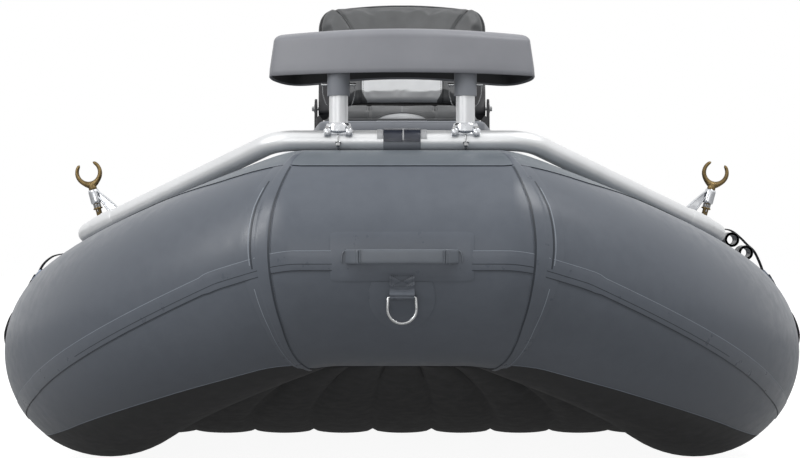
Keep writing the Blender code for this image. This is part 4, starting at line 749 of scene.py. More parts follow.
def line_along(angle_at, start, end, width, lift, steps):
    """A thin line of glue or fabric edge along the tube."""
    half = width / 2 / SIDE_TUBE_RADIUS
    return band(lambda u: angle_at(u) - half, lambda u: angle_at(u) + half, start, end, (steps, 1), lift)


def round_mitre(near, far, low, high, lift, columns):
    """A band round the tube between two distances off the mitre's seam and two angles in degrees."""
    def shape(a, b):
        angle = mix(low, high, b)
        return mitre_point(radians(angle)).x + read_off(SEAM_OFF_MITRE, angle) + mix(near, far, a), radians(angle)
    return patch(shape, (columns, 60), lift)


def build_long_seams():
    """The tape, glue lines and chafe patch that run along each end of the hull, with pale lines of painted highlight
    along the tape's upper edge and just inside the patch's front edge.
    """
    for end, matrix in ENDS:
        tape = band(lambda u: tape_middle(u) - tape_half(u), lambda u: tape_middle(u) + tape_half(u),
                    -TAPE_REACH, TAPE_REACH, (220, 6), 0.0013)
        crown = band(lambda u: radians(57), crown_edge, -CROWN_REACH, CROWN_REACH, (170, 20), 0.0013)
        dark = [line_along(edge, -reach, reach, width, lift, steps) for edge, reach, width, lift, steps in (
            (lambda u: tape_middle(u) + tape_half(u), TAPE_REACH, 0.0018, 0.0024, 220),
            (lambda u: tape_middle(u) + 0.40 * HALF_TAPE, 0.62, 0.0016, 0.0024, 150),
            (crown_edge, CROWN_REACH, 0.0020, 0.0025, 160))]
        # the pale lines are painted highlights along the upper tape edge and the chafe patch's front edge
        light = [line_along(edge, -reach, reach, width, 0.0019, steps) for edge, reach, width, steps in (
            (lambda u: tape_middle(u) - tape_half(u), TAPE_REACH, 0.0014, 220),
            (lambda u: crown_edge(u) - 0.012, CROWN_REACH, 0.0010, 160))]
        for name, mesh, fabric in (("long_tape", tape, TAPE_FABRIC), ("glue_lines", joined(*dark), GLUE_LINE),
                                   ("tape_edge_highlights", joined(*light), EDGE_HIGHLIGHT), ("crown_patch", crown, CROWN_FABRIC)):
            finished(f"{name}_{end}", mesh, fabric, matrix=matrix)


def build_quarter_seams():
    """Overlapping tapes, glue lines and painted highlight lines that follow each mitre, the wear panel below with a
    painted highlight line above it, and the tapes at the baffles.
    """
    def wear_edge(u):
        return radians(read_off(WEAR_EDGE, u))

    def wear_inner(u):
        return radians(mix(269, 318, min(1.0, (u - WEAR_EDGE[0][0]) / 0.16)))

    def lines(lift, *places):
        return joined(*[round_mitre(off - width / 2, off + width / 2, low, high, lift, 1)
                        for off, low, high, width in places])

    def on_mitre():
        dark = lines(0.0024, (0.0, 124, 258, 0.0022), (0.0085, 130, 184, 0.0014), (0.0160, 134, 182, 0.0013))
        # pale lines of painted highlight beside the tapes' edges on the mitre
        light = lines(0.0024, (0.0102, 134, 182, 0.0009), (0.0176, 138, 180, 0.0008), (0.0180, 192, 250, 0.0008))
        return (("mitre_tape_wide", round_mitre(-0.002, 0.024, 100, 262, 0.0011, 8), TAPE_FABRIC),
                ("mitre_tape_narrow", round_mitre(0.0, 0.013, 98, 264, 0.0016, 8), TAPE_FABRIC),
                ("mitre_lines", dark, GLUE_LINE), ("mitre_edges", light, EDGE_HIGHLIGHT))

    def worn():
        panel = band(wear_edge, wear_inner, WEAR_EDGE[0][0], HULL_MIDDLE, (90, 16), 0.0012, 1.7)
        # a pale line of painted highlight just above the wear panel's upper edge
        edge = line_along(lambda u: wear_edge(u) - 0.008, 0.235, HULL_MIDDLE, 0.0016, 0.0011, 110)
        return (("wear_panel", panel, WEAR_FABRIC), ("wear_edge", edge, EDGE_HIGHLIGHT))

    def round_baffle():
        tape = band(lambda u: radians(-40), lambda u: radians(229), QUARTER_END - BAFFLE_HALF,
                    QUARTER_END + BAFFLE_HALF, (6, 90), 0.0015)
        return (("baffle_tape", tape, TAPE_FABRIC),)

    def along_side():
        middle = tape_middle(QUARTER_END)
        tape = band(lambda u: middle - HALF_TAPE, lambda u: middle + HALF_TAPE, QUARTER_END + BAFFLE_HALF,
                    HULL_MIDDLE, (12, 6), 0.0013)
        return (("side_tape", tape, TAPE_FABRIC),)
    for group in (on_mitre, worn, round_baffle, along_side):
        for name, matrix in QUARTERS:
            for label, mesh, fabric in group():
                finished(f"{label}_{name}", mesh, fabric, matrix=matrix)


# Floor and valves

FLOOR_START = 0.275
FLOOR_THICK = 0.108


def axis_x_at(back):
    """Distance of the tube's axis from the middle of the boat."""
    return read_off([(centre.y, centre.x) for centre, _, _, _ in STATIONS[:-1]], BOW_Y + back)


def build_floor():
    """The inflated floor: nine lengthwise lobes between its tied-in I-beams."""
    lobes, count, puff = 9, 108, 0.011
    backs = [FLOOR_START + (HULL_LENGTH / 2 - FLOOR_START) * (k / 40) ** 1.25 for k in range(41)]
    rows = []
    for back in backs + [HULL_LENGTH - b for b in backs[-2::-1]]:
        near = min(back, HULL_LENGTH - back)
        half = axis_x_at(near) - (0.105 if near <= 0.28 else 0.03)
        low = mix(0.020, 0.250, max(0.0, (1.36 - near) / (1.36 - FLOOR_START)) ** 2)
        ring = []
        for side in (1, -1):
            for share in spread(0, 1, count + 1):
                lobe = share * lobes % 1.0
                rise = puff - puff * sqrt(4 * lobe * (1 - lobe))
                rise += 0.35 * FLOOR_THICK * max(0.0, abs(2 * share - 1) - 0.93) / 0.07
                ring.append(at(half * (2 * share - 1) * side, back, low + (rise if side > 0 else FLOOR_THICK - rise)))
        rows.append(ring)
    finished("inflated_floor", skin(rows), FLOOR_FABRIC, replaces="floor_chamber", smooth=70)


def build_valves():
    """Flanged air valves, half way up the inside of the tubes, each with its cap."""
    slope = sqrt(0.5)
    bow_out, side_out = Vector((0, slope, slope)), Vector((-slope, 0, slope))
    bow = at(0, BOW_TUBE_RADIUS, BOW_AXIS_HEIGHT) + BOW_TUBE_RADIUS * bow_out
    side = Vector((SIDE_X, 0.0, SIDE_TUBE_RADIUS)) + SIDE_TUBE_RADIUS * side_out
    profile = ((-0.004, 0.0315), (0.0022, 0.0315), (0.0036, 0.0300), (0.0052, 0.0262), (0.0058, 0.0245))
    for first_foot, first_out, names in ((bow, bow_out, ENDS), (side, side_out, SIDES)):
        for name, matrix in names:
            foot, out, cap = matrix @ first_foot, matrix @ first_out, f"valve_cap_{name}"
            finished(f"{name}_valve_flange", lathe(foot, out, profile, 48), BLACK_PLASTIC)
            finished(cap, fluted_cap(foot + 0.0063 * out, out.normalized()), BLACK_PLASTIC, cap, cap)


def fluted_cap(seat, axis):
    """A screw cap with eighteen grip flutes and a bar across its dished top."""
    first = axis.orthogonal().normalized()
    second = axis.cross(first)
    sides, flutes, flute_depth = 108, 18, 0.0009
    rings = []
    for along, radius, share in (
            (0.0, 0.0224, 0.0), (0.0006, 0.0229, 0.4), (0.0020, 0.0229, 1.0), (0.0085, 0.0227, 1.0),
            (0.0102, 0.0218, 0.6), (0.0112, 0.0205, 0.0), (0.0112, 0.0185, 0.0), (0.0100, 0.0172, 0.0)):
        ring = []
        for angle in [2 * pi * k / sides for k in range(sides)]:
            r = radius - flute_depth * share * (0.5 + 0.5 * cos(flutes * angle))
            ring.append(seat + axis * along + r * (cos(angle) * first + sin(angle) * second))
        rings.append(ring)
    bar = slab(rounded_outline(0.032, 0.007, 0.003), 0.0096, 0.0119, 0.0005)
    turn = Matrix((first, second, axis)).transposed().to_4x4()
    return joined(skin(rings), turned(bar, Matrix.Translation(seat) @ turn))


# Fabric fittings at each end

def bow_face(x, height, off=0.0):
    """A point off the bow tube's front face."""
    up = height - BOW_AXIS_HEIGHT
    return at(x, BOW_TUBE_RADIUS - sqrt(BOW_TUBE_RADIUS ** 2 - up ** 2) - off, height)


def bow_phi(height):
    """Angle round the bow tube of a height on its front face."""
    return pi - asin((height - BOW_AXIS_HEIGHT) / BOW_TUBE_RADIUS)


def round_patch(place, radius, lift, rim_lift, sides):
    """A round glued patch: place gives the point at distances across and up it and off the fabric."""
    top, bottom = [], []
    for i in range(9):
        r = radius * max(0.02, i / 8)
        spots = [(r * cos(a), r * sin(a)) for a in spread(0, 2 * pi, sides + 1)]
        top.append([place(x, y, rim_lift if i == 8 else lift) for x, y in spots])
        bottom.append([place(x, y, -0.001) for x, y in spots])
    return sheet_shell(top, bottom)


def build_bow_rings():
    """Towing rings in creased webbing loops, each on a round glued patch cut off straight below the handle."""
    half, drop, wire = 0.0275, 0.0225, 0.0029           # of the ring's bar, below it to the bow's centre, and its wire
    axis = bow_face(0, RING_HEIGHT, GAP + 0.0066)
    handle_low = HANDLE_HEIGHT - 0.0475
    for end, matrix in ENDS:
        def place(x, y, lift):
            return hull_point(x, bow_phi(min(RING_HEIGHT + y, handle_low - 0.0004)), lift)
        finished(f"{end}_ring_disc", round_patch(place, 0.0635, 0.0015, 0.00075, 64), TAPE_FABRIC,
                 replaces=f"{end}_ring_patch", smooth=60, matrix=matrix)
        corner = half - 0.0012
        path = [axis + Vector((x, 0, 0)) for x in spread(-half + 0.004, half - 0.004, 8)]
        path.append(axis + Vector((corner, 0, -0.0012)))
        path += [axis + Vector((half * cos(a), 0, -drop - half * sin(a) * 0.995)) for a in spread(0, pi, 29)]
        path.append(axis + Vector((-corner, 0, -0.0012)))
        ring = f"{end}_d_ring"
        finished(ring, tube(path, wire, 16, closed=True), STEEL, ring, ring, 60, matrix)
        finished(f"{end}_ring_webbing", ring_webbing(axis, handle_low + 0.014), TAPE_FABRIC, smooth=60, matrix=matrix)
        low, high, wide = RING_HEIGHT + 0.021, handle_low + 0.011, 0.0195
        corners = [(-wide, low), (wide, low), (wide, high), (-wide, high), (-wide, low), (wide, high), (-wide, high),
                   (wide, low)]
        box = [[bow_face(mix(x0, x1, t), mix(z0, z1, t), 0.0047) for t in spread(0, 1, 12)]
               for (x0, z0), (x1, z1) in zip(corners, corners[1:])]
        stitched(f"{end}_ring_stitches", box, "raft", matrix, 0.0034, 0.0026, 0.0010)


def ring_webbing(axis, top):
    """The doubled loop over the ring's bar: two layers against the bow, pinched into creases below the stitching."""
    thick, width, columns = 0.0016, 0.0475, 28
    wrap = 0.0034 + thick / 2
    off_axis = (bow_face(0, RING_HEIGHT) - axis).y
    outer, inner = [], []
    for k in range(columns + 1):
        x = width * (k / columns - 0.5)
        edge = abs(2 * k / columns - 1)
        line = []
        for height in spread(top - 0.0004, RING_HEIGHT + 0.0035, 26):
            down = (top - height) / (top - RING_HEIGHT)
            near = max(0.0, min(1.0, (RING_HEIGHT + 0.014 - height) / 0.011))
            near = near * near * (3 - 2 * near)
            crease = (0.0015 * edge * sin(22 * down + 4.0 * edge) * sin(pi * min(1.0, down * 1.15))
                      + 0.0010 * edge ** 3)
            line.append(bow_face(x, height, 1.5 * thick + 0.0004 + (off_axis + wrap - 1.5 * thick) * near * 0.98
                                 + max(-0.0003, crease)))
        line += [axis + Vector((x, -wrap * cos(a), wrap * sin(a))) for a in spread(radians(20), radians(-200), 16)]
        line += [bow_face(x, height, 0.5 * thick + 0.0001) for height in spread(RING_HEIGHT + 0.006, top - 0.0004, 8)]
        out = [Vector((0, way.z, -way.y)) * thick / 2 for way in ways_along(line)]
        for i in (0, 1):
            out[i] = Vector((0, -abs(ways_along(line)[i].z), 0)) * thick / 2
        outer.append([p + off for p, off in zip(line, out)])
        inner.append([p - off for p, off in zip(line, out)])
    return sheet_shell(outer, inner)


def build_handles():
    """Carry handles: a large glued patch, a padded grip that stands off it and ribbed ends."""
    half_u, half_h, corner = 0.1365, 0.047, 0.012
    low, high = bow_phi(HANDLE_HEIGHT - half_h), bow_phi(HANDLE_HEIGHT + half_h)

    def rounded(a, b):
        x = half_u * (2 * a - 1)
        v = (2 * b - 1) * (1 - 0.10 * max(0.0, (abs(x) - half_u + corner) / corner) ** 2)
        return x, (low + high) / 2 + (high - low) / 2 * v
    for end, matrix in ENDS:
        finished(f"{end}_handle_patch", patch(rounded, (60, 16), 0.0015), TAPE_FABRIC, replaces=f"{end}_handle",
                 smooth=60, matrix=matrix)
        finished(f"{end}_handle_grip", handle_grip(), HANDLE_RUBBER, smooth=60, matrix=matrix)
        ribs = []
        for side in (-1, 1):
            for k, stand in enumerate((0.0290, 0.0281, 0.0233, 0.0181, 0.0129, 0.0077)):
                x = side * (0.0790 + 0.0042 * k)
                ribs.append(tube([at(x, -stand - 0.0002, HANDLE_HEIGHT + z) for z in spread(-0.0125, 0.0125, 9)],
                                 0.0011, 10, round_ends=True))
            arch = [at(side * (0.0985 + 0.0060 * cos(t)), -0.0035, HANDLE_HEIGHT - 0.004 + 0.0160 * sin(t))
                    for t in spread(-0.35, pi + 0.35, 22)]
            ribs.append(tube(arch, 0.0016, 10, round_ends=True))
            ribs.append(tube([p + Vector((side * 0.0095, 0.0006, -0.0015)) for p in arch], 0.0012, 10, round_ends=True))
        finished(f"{end}_handle_ribs", joined(*ribs), HANDLE_RUBBER, smooth=60, matrix=matrix)


def squared(value, power):
    """A sine or cosine pushed outwards, for a section between an oval and a box."""
    return abs(value) ** power * (1 if value > 0 else -1)


def handle_grip():
    """A flat padded grip whose ends run down to the patch."""
    tip, foot, stand = 0.083, 0.105, 0.0255
    path = rounded_path([at(x, -off, HANDLE_HEIGHT) for x, off in (
        (-foot, 0.0012), (-tip, stand), (tip, stand), (foot, 0.0012))], 0.02, radians(6))
    path = split_path(path, 0.008)
    rings = []
    for point, way in zip(path, ways_along(path)):
        across = Vector((-way.y, way.x, 0)) * 0.0034 * (1 + 0.12 * cos(pi * min(1, abs(point.x) / tip)))
        rings.append([point + across * squared(cos(a), 0.6) + UP * 0.0138 * squared(sin(a), 0.42)
                      for a in [2 * pi * k / 28 for k in range(28)]])
    return skin(rings)


# Pipe frame

SLANT_START = at(BAR_BEND_X, BAR_BACK, BAR_Z)
RAIL_CORNER = at(RAIL_X, CORNER_BACK, RAIL_Z)
SLANT = (RAIL_CORNER - SLANT_START).normalized()
JOIN = mix(SLANT_START, RAIL_CORNER, JOIN_SHARE)
FITTING_WALL = 0.0058                                  # outer face of a cast clamp off the pipe


def saddle(start, end, inner, outer, low, high, ease):
    """Part of a sleeve round the pipe: two distances off the pipe and two angles in degrees from level."""
    way = (end - start).normalized()
    side = UP.cross(way).normalized()
    up = way.cross(side)
    angles = spread(radians(low), radians(high), 37)
    rings = []
    for share, shrunk in ((0.0, ease), (0.06, 0.0), (0.94, 0.0), (1.0, ease)):
        arcs = [(PIPE / 2 + inner, angles), (PIPE / 2 + outer - shrunk, angles[::-1])]
        rings.append([mix(start, end, share) + r * (cos(a) * side + sin(a) * up) for r, arc in arcs for a in arc])
    return skin(rings)


def hex_bolt(start, way, size, length):
    """A hex head with a chamfer, on its washer."""
    way = Vector(way).normalized()
    head = lathe(start, way, ((0, size * 0.46), (0.0002, size * 0.5), (length * 0.75, size * 0.5),
                              (length, size * 0.42)), 6)
    washer = lathe(start - way * 0.0012, way, ((0, size * 0.62), (0.0010, size * 0.62), (0.0014, size * 0.58)), 24)
    return joined(head, washer)


def bent_pipe(corners, radius, limit, open_ended=True):
    """A pipe bent at its corners, hollow unless its ends are out of sight."""
    path = split_path(rounded_path(corners, radius), limit)
    return hollow_tube(path, PIPE / 2, PIPE / 2 - PIPE_WALL) if open_ended else tube(path, PIPE / 2, 40)


def build_frame():
    """Crossbars, rails and their splices, seat bars and foot bar, with clamps that hug the rails."""
    for (end, (_, matrix)) in zip(("front", "rear"), ENDS):
        bar = bent_pipe([MIRROR_X @ JOIN, MIRROR_X @ SLANT_START, SLANT_START, JOIN], BAR_BEND_RADIUS, 0.05)
        finished(f"{end}_crossbar_pipe", bar, ALUMINIUM_ACROSS, replaces=f"{end}_crossbar", smooth=40, matrix=matrix)
    start = JOIN + SLANT * 0.0006
    for side, matrix in SIDES:
        rail = bent_pipe([start, RAIL_CORNER, MIRROR_Y @ RAIL_CORNER, MIRROR_Y @ start], CORNER_RADIUS, 0.08)
        finished(f"rail_{side}_pipe", rail, ALUMINIUM_ALONG, replaces=f"rail_{side}", smooth=40, matrix=matrix)
    for name, matrix in QUARTERS:
        splice(name, matrix)

    rise = Vector((BAR_BEND_X - RAIL_X, 0, BAR_Z - RAIL_Z)).normalized()
    for seat, seat_back in SEATS.items():
        for spot, back in (("fore", seat_back - SEAT_BAR_SPACING / 2), ("aft", seat_back + SEAT_BAR_SPACING / 2)):
            corner, clear = at(BAR_BEND_X, back, BAR_Z), at(RAIL_X, back, RAIL_Z) + rise * (PIPE / 2 + CLAMP_GAP)
            bar = bent_pipe([MIRROR_X @ clear, MIRROR_X @ corner, corner, clear], BAR_BEND_RADIUS, 0.05, False)
            node = f"{seat}_seat_bar_{spot}"
            finished(f"{node}_pipe", bar, ALUMINIUM_ACROSS, replaces=node, smooth=40)
            rail_clamps(f"{seat}_{spot}", back, rise)
    clear = at(RAIL_X - PIPE / 2 - CLAMP_GAP, FOOT_BAR_BACK, RAIL_Z)
    finished("foot_bar_pipe", bent_pipe([MIRROR_X @ clear, clear], 0, 0.05, False), ALUMINIUM_ACROSS,
             replaces="foot_bar", smooth=40)
    rail_clamps("foot", FOOT_BAR_BACK, -ACROSS)
    grip = tube([at(x, FOOT_BAR_BACK, RAIL_Z) for x in spread(-0.30, 0.30, 40)], PIPE / 2 + 0.0016, 40)
    finished("foot_bar_grip", grip, BLACK_PLASTIC)


def splice(name, matrix):
    """The swaged end of the bent piece: a sleeve with a rolled lip and two button screws."""
    start = JOIN - SLANT * 0.001
    sleeve = lathe(start, SLANT, ((0, 0.0212), (0.0020, 0.0218), (0.0060, 0.0225), (0.0120, 0.0229), (0.0700, 0.0229),
                                  (0.0760, 0.0222), (0.0790, 0.02105)), 48)
    finished(f"splice_{name}", sleeve, ALUMINIUM_ALONG, matrix=matrix)
    up = (UP - SLANT * UP.dot(SLANT)).normalized()
    screws = [lathe(start + SLANT * along + up * 0.0222, up,
                    ((0, 0.0052), (0.0012, 0.0050), (0.0022, 0.0036), (0.0024, 0.0016)), 20)
              for along in (0.018, 0.052)]
    finished(f"splice_screws_{name}", joined(*screws), STEEL, matrix=matrix)


def rail_clamps(name, back, way):
    """Cast slip-on fittings on both rails, each with two set screws and a rolled lip."""
    rail, half = at(RAIL_X, back, RAIL_Z), AFT * 0.0225
    up = (UP - way * UP.dot(way)).normalized()
    for side, matrix in SIDES:
        collar = saddle(rail - half, rail + half, GAP, FITTING_WALL, -44, 224, 0.0014)
        socket = lathe(rail + way * (PIPE / 2 + 0.001), way, ((0, 0.0205), (0.004, 0.0262), (0.012, 0.0268), (
            0.048, 0.0268), (0.0515, 0.0262), (0.0530, 0.0245), (0.0530, 0.0212)), 48)
        finished(f"clamp_{name}_{side}", joined(collar, socket), CAST_ALUMINIUM, smooth=50, matrix=matrix)
        screws = [lathe(rail + way * (PIPE / 2 + along) + up * 0.0262, up,
                        ((0, 0.0044), (0.0014, 0.0044), (0.0017, 0.0038), (0.0011, 0.0022), (0.0004, 0.0018)), 20)
                  for along in (0.024, 0.038)]
        finished(f"clamp_screws_{name}_{side}", joined(*screws), STEEL, matrix=matrix)


def build_wrap():
    """The hold-down: a fabric sleeve under the bar, a glossy chafe guard over it and its stitched tabs."""
    for name, material, ease, (inner, outer), (low, high), spans in (
            ("sleeve", BASE_PLASTIC, 0.0004, (GAP, 0.0022), (-82, 262), ((-0.0375, 0.0375),)),
            ("guard", GUARD_VINYL, 0.0004, (0.0023, 0.0036), (-5, 186), ((-0.0372, 0.0012), (0.0036, 0.0372))),
            ("seam", PALE_VINYL, 0.0003, (0.0022, 0.0042), (0, 180), ((0.0010, 0.0040),)),
            ("tabs", PALE_VINYL, 0.0003, (0.0004, 0.0018), (62, 172), ((-0.0500, -0.0380), (0.0380, 0.0500)))):
        bands = [saddle(at(x0, BAR_BACK, BAR_Z), at(x1, BAR_BACK, BAR_Z), inner, outer, low, high, ease)
                 for x0, x1 in spans]
        finished(f"hold_down_{name}", joined(*bands), material, smooth=60,
                 replaces="hold_down_wrap" if name == "sleeve" else None)


# Thigh brace

SIDE_BACK, HORN_BACK, HORN_X, WAIST_BACK, NOSE_BACK = 0.265, 0.500, 0.196, 0.330, 0.178


def nose_line(x):
    """Back of the brace's front edge."""
    return mix(NOSE_BACK, SIDE_BACK, (x / HALF_WIDTH) ** 2)


def waist_line(x):
    """Back of the brace's rear edge."""
    return mix(WAIST_BACK, HORN_BACK, (x / HORN_X) ** 2)


def brace_outline():
    """Crescent plan, anticlockwise, as (x, back), with its corners cut four times over."""
    right = [(HALF_WIDTH, SIDE_BACK + 0.010), (HALF_WIDTH, (SIDE_BACK + HORN_BACK) / 2),
             ((HALF_WIDTH + HORN_X) / 2 + 0.01, HORN_BACK)]
    points = [(x, nose_line(x)) for x in (-0.2571, -0.1286, 0.0, 0.1286, 0.2571)] + right
    points += [(x, waist_line(x)) for x in spread(HORN_X, -HORN_X, 5)] + [(-x, back) for x, back in reversed(right)]
    for _ in range(4):
        points = [(mix(here[0], there[0], t), mix(here[1], there[1], t))
                  for here, there in zip(points, points[1:] + points[:1]) for t in (0.25, 0.75)]
    return points


def crowned(outline, amount):
    """The outline drawn in towards the crescent's spine."""
    result = []
    for x, back in outline:
        spine = 0.254 + 2.795 * x ** 2
        result.append((x * (1 - amount / HALF_WIDTH), mix(spine, back, 1 - amount / 0.076)))
    return result


def build_brace():
    """The moulded shell, open below, with its ribs, sleeves, posts, cast feet and hitch pins, and a dark lining inside
    that paints the shade under the shell.
    """
    outline = brace_outline()
    draft, edge, crown, wall = 0.009, 0.019, 0.026, 0.004
    inner, shoulder, lip = wall + draft, BRACE_TOP - edge, RIM_HEIGHT + 0.010
    # each level is drawn in by an inset and towards the spine, at a height
    shell = [(inner, 0.006, BRACE_TOP - wall - 0.002), (inner, 0.0, shoulder), (wall + 0.0015, 0.0, RIM_HEIGHT + 0.004),
             (wall, 0.0, RIM_HEIGHT + 0.0008), (wall * 0.6, 0.0, RIM_HEIGHT), (wall * 0.3, 0.0, RIM_HEIGHT),
             (0.0, 0.0, RIM_HEIGHT + 0.0012), (0.0006, 0.0, lip)]
    shell += [(draft * t, 0.0, mix(lip, shoulder, t)) for t in spread(1 / 8, 7 / 8, 7)]
    shell += [(draft, crown * (1 - cos(a)), shoulder + edge * sin(a)) for a in spread(0, pi / 2, 9)]
    # painted shade: a dark layer just inside the shell's top and walls, where the underside falls into shade
    shade_levels = [(inner + 0.0050, 0.010, BRACE_TOP - wall - 0.008), (inner + 0.0040, 0.0, shoulder - 0.006),
            (wall + 0.0030, 0.0, RIM_HEIGHT + 0.0045), (wall + 0.0016, 0.0, RIM_HEIGHT + 0.0036),
            (wall + 0.0004, 0.0, RIM_HEIGHT + 0.0045), (inner + 0.0008, 0.0, shoulder - 0.002),
            (inner + 0.0012, 0.0075, BRACE_TOP - wall - 0.0040)]
    for name, levels, material, node in (("moulding", shell, BRACE_PLASTIC, "brace_shell"),
                                         ("shade_lining", shade_levels, SHADE_LINER_BLACK, None)):
        mesh = skin([[at(x, back, z) for x, back in crowned(inset(outline, off), drawn)] for off, drawn, z in levels])
        finished(f"brace_{name}", mesh, material, replaces=node, smooth=50)
    ribs = []
    for x in (-0.205, -0.165, -0.06, 0.06, 0.165, 0.205):
        near, far = nose_line(x) + 0.024, min(waist_line(x) - 0.014, 0.43)
        plan = [(x - 0.0015, near), (x + 0.0015, near), (x + 0.0015, far), (x - 0.0015, far)]
        ribs.append(slab(plan, BRACE_TOP - 0.050, BRACE_TOP - 0.010, 0.0, at))
    finished("brace_ribs", joined(*ribs), BRACE_PLASTIC)
    bar = at(POST_X, BAR_BACK, BAR_Z)
    for side, matrix in SIDES:
        foot = at(POST_X, BAR_BACK, RIM_HEIGHT - 0.0435)
        post = tube([bar + UP * 0.0222, bar + UP * 0.09, at(POST_X, BAR_BACK, BRACE_TOP - 0.028)], POST / 2, 48)
        sleeve = hollow_tube([foot, foot + UP * 0.001, at(POST_X, BAR_BACK, BRACE_TOP - 0.026)], 0.0229, 0.0194)
        pin = f"hitch_pin_{side}"
        finished(f"brace_sleeve_{side}", sleeve, BASE_PLASTIC, matrix=matrix)
        finished(f"brace_post_{side}_pipe", post, ALUMINIUM_UPRIGHT, replaces=f"brace_post_{side}", matrix=matrix)
        finished(f"brace_foot_{side}", brace_foot(bar), CAST_ALUMINIUM, smooth=50, matrix=matrix)
        finished(f"brace_foot_bolts_{side}", brace_foot_bolts(bar), STEEL, smooth=40, matrix=matrix)
        finished(pin, hitch_pin(), STEEL, pin, pin, 50, matrix)


LUGS = [Vector((side * 0.0215, front * 0.0205, 0)) for side in (-1, 1) for front in (-1, 1)]


def brace_foot(bar):
    """A cast saddle and post socket with bolt lugs fore and aft."""
    half = ACROSS * 0.0200
    hug = saddle(bar - half, bar + half, GAP, 0.0060, 28, 152, 0.0016)
    socket = lathe(bar + UP * (PIPE / 2 - 0.002), UP, ((0, 0.0192), (0, 0.0262), (0.0060, 0.0256), (0.0110, 0.0248), (
        0.0150, 0.0243), (0.0160, 0.0232), (0.0160, 0.0192)), 48)
    return joined(hug, socket, *[lathe(bar + lug + UP * 0.0090, UP, (
        (0, 0.0068), (0.0012, 0.0078), (0.0125, 0.0078), (0.0140, 0.0068)), 24) for lug in LUGS])


def brace_foot_bolts(bar):
    """Hex heads on the lugs and the hoop bolt whose nut hangs under the bar."""
    reach = PIPE / 2 + 0.0022
    hoop = [bar + Vector((0, -reach * cos(a), reach * sin(a))) for a in spread(radians(-215), radians(35), 40)]
    nut = hex_bolt(bar + Vector((0.0, -(PIPE / 2 + 0.0040), -0.006)), (0, -0.5, -1), 0.0100, 0.0070)
    return joined(*[hex_bolt(bar + lug + UP * 0.0232, UP, 0.0095, 0.0052) for lug in LUGS],
                  tube(hoop, 0.0018, 12, round_ends=True), nut)


def hitch_pin():
    """A cross pin with a domed head and a thin wire bail that hangs behind the post."""
    centre = at(POST_X, BAR_BACK, RIM_HEIGHT - 0.020)
    reach, leg, behind, drop = 0.0327, 0.0325, 0.0320, 0.0410
    pin = tube([centre + ACROSS * x for x in spread(-reach, reach, 6)], 0.00320, 24, round_ends=True)
    half = [(leg, 0.0, 0.0), (leg, behind * 0.45 + 0.004, -drop * 0.45), (leg * 0.80, behind, -drop)]
    corners = [centre + Vector((-x, y, z)) for x, y, z in half] + [centre + Vector(spot) for spot in reversed(half)]
    return joined(pin, tube(rounded_path(corners, 0.010, radians(10)), 0.00098, 12, round_ends=True))


# Seats

BACK_UP = Vector((0, sin(BACK_LEAN), cos(BACK_LEAN)))
BEHIND = Vector((0, cos(BACK_LEAN), -sin(BACK_LEAN)))


def hinge_at(seat, x=0.0):
    return at(x, SEATS[seat] + HINGE_AFT, HINGE_Z)


def back_point(seat, x, up, depth):
    """A point of a seat back: across, up its face from the hinge, and behind its face."""
    return hinge_at(seat, x) + up * BACK_UP + depth * BEHIND


def back_outline(low, high, shrink=0.0):
    """The seat back from the front: a crowned top, tight upper corners and a slightly narrower foot."""
    half = BACK_WIDTH / 2 - shrink
    foot, foot_radius = half * 0.97, 0.050
    crown, side, drop = 0.0145, 0.032, 0.050
    right = [(foot - foot_radius * (1 - sin(a)), low + foot_radius * (1 - cos(a))) for a in spread(0, pi / 2, 8)]
    right += [(half - side * (1 - cos(a)), high - crown - drop * (1 - sin(a))) for a in spread(0, radians(84), 9)]
    edge = right[-1][0]
    right += [(x, high - crown * (x / edge) ** 2) for x in spread(edge * 0.85, edge * 0.12, 6)]
    return right + [(-x, up) for x, up in reversed(right)]


def seam_x(up):
    """Half width between the back's two long seams, which spread towards its top corners."""
    return 0.103 + 6.7 * max(0.0, up - 0.05) ** 3


def swelled(name, mesh, voxel, cap, keep):
    """A padded form: remeshed, blown up by the cloth solver, and limited to a small move; keep may hold a point."""
    scene = bpy.context.scene
    holder = held(name, mesh)
    data = holder.data
    remesh = holder.modifiers.new("remesh", "REMESH")
    remesh.mode = "VOXEL"
    remesh.voxel_size = voxel
    rest = evaluated_mesh(holder)
    holder.modifiers.clear()
    holder.data = rest
    start = [v.co.copy() for v in rest.vertices]
    cloth = holder.modifiers.new("cloth", "CLOTH").settings
    cloth.quality = 5
    cloth.mass = 0.3
    cloth.tension_stiffness = cloth.compression_stiffness = 15
    cloth.bending_stiffness = 0.5
    cloth.use_pressure = True
    cloth.uniform_pressure_force = 4.0
    cloth.effector_weights.gravity = 0.0
    for number in range(1, 21):
        scene.frame_set(number)
    blown = holder.evaluated_get(bpy.context.evaluated_depsgraph_get())
    moved = [v.co.copy() for v in blown.data.vertices]
    holder.modifiers.clear()
    scene.frame_set(1)
    for vertex, before, after in zip(rest.vertices, start, moved):
        step = after - before
        if step.length > cap:
            step *= cap / step.length
        vertex.co = keep(before + step)
    finer = holder.modifiers.new("finer", "SUBSURF")
    finer.levels = finer.render_levels = 1
    return taken_back(holder, data, rest, evaluated_mesh(holder))


def sewn(mesh, depth_at, panel_at):
    """Sinks a padded mesh by a depth at each point and marks its pale panel in an attribute."""
    mesh.normal_update()
    sunk = [v.co - v.normal * depth_at(v.co, v.normal) for v in mesh.verts]
    layer = mesh.verts.layers.float.new("panel")
    for vertex, place in zip(mesh.verts, sunk):
        vertex.co = place
        vertex[layer] = panel_at(place)


def groove(distance, width=0.0035):
    """The share of a seam's depth at a distance from it."""
    return exp(-(distance / width) ** 2)


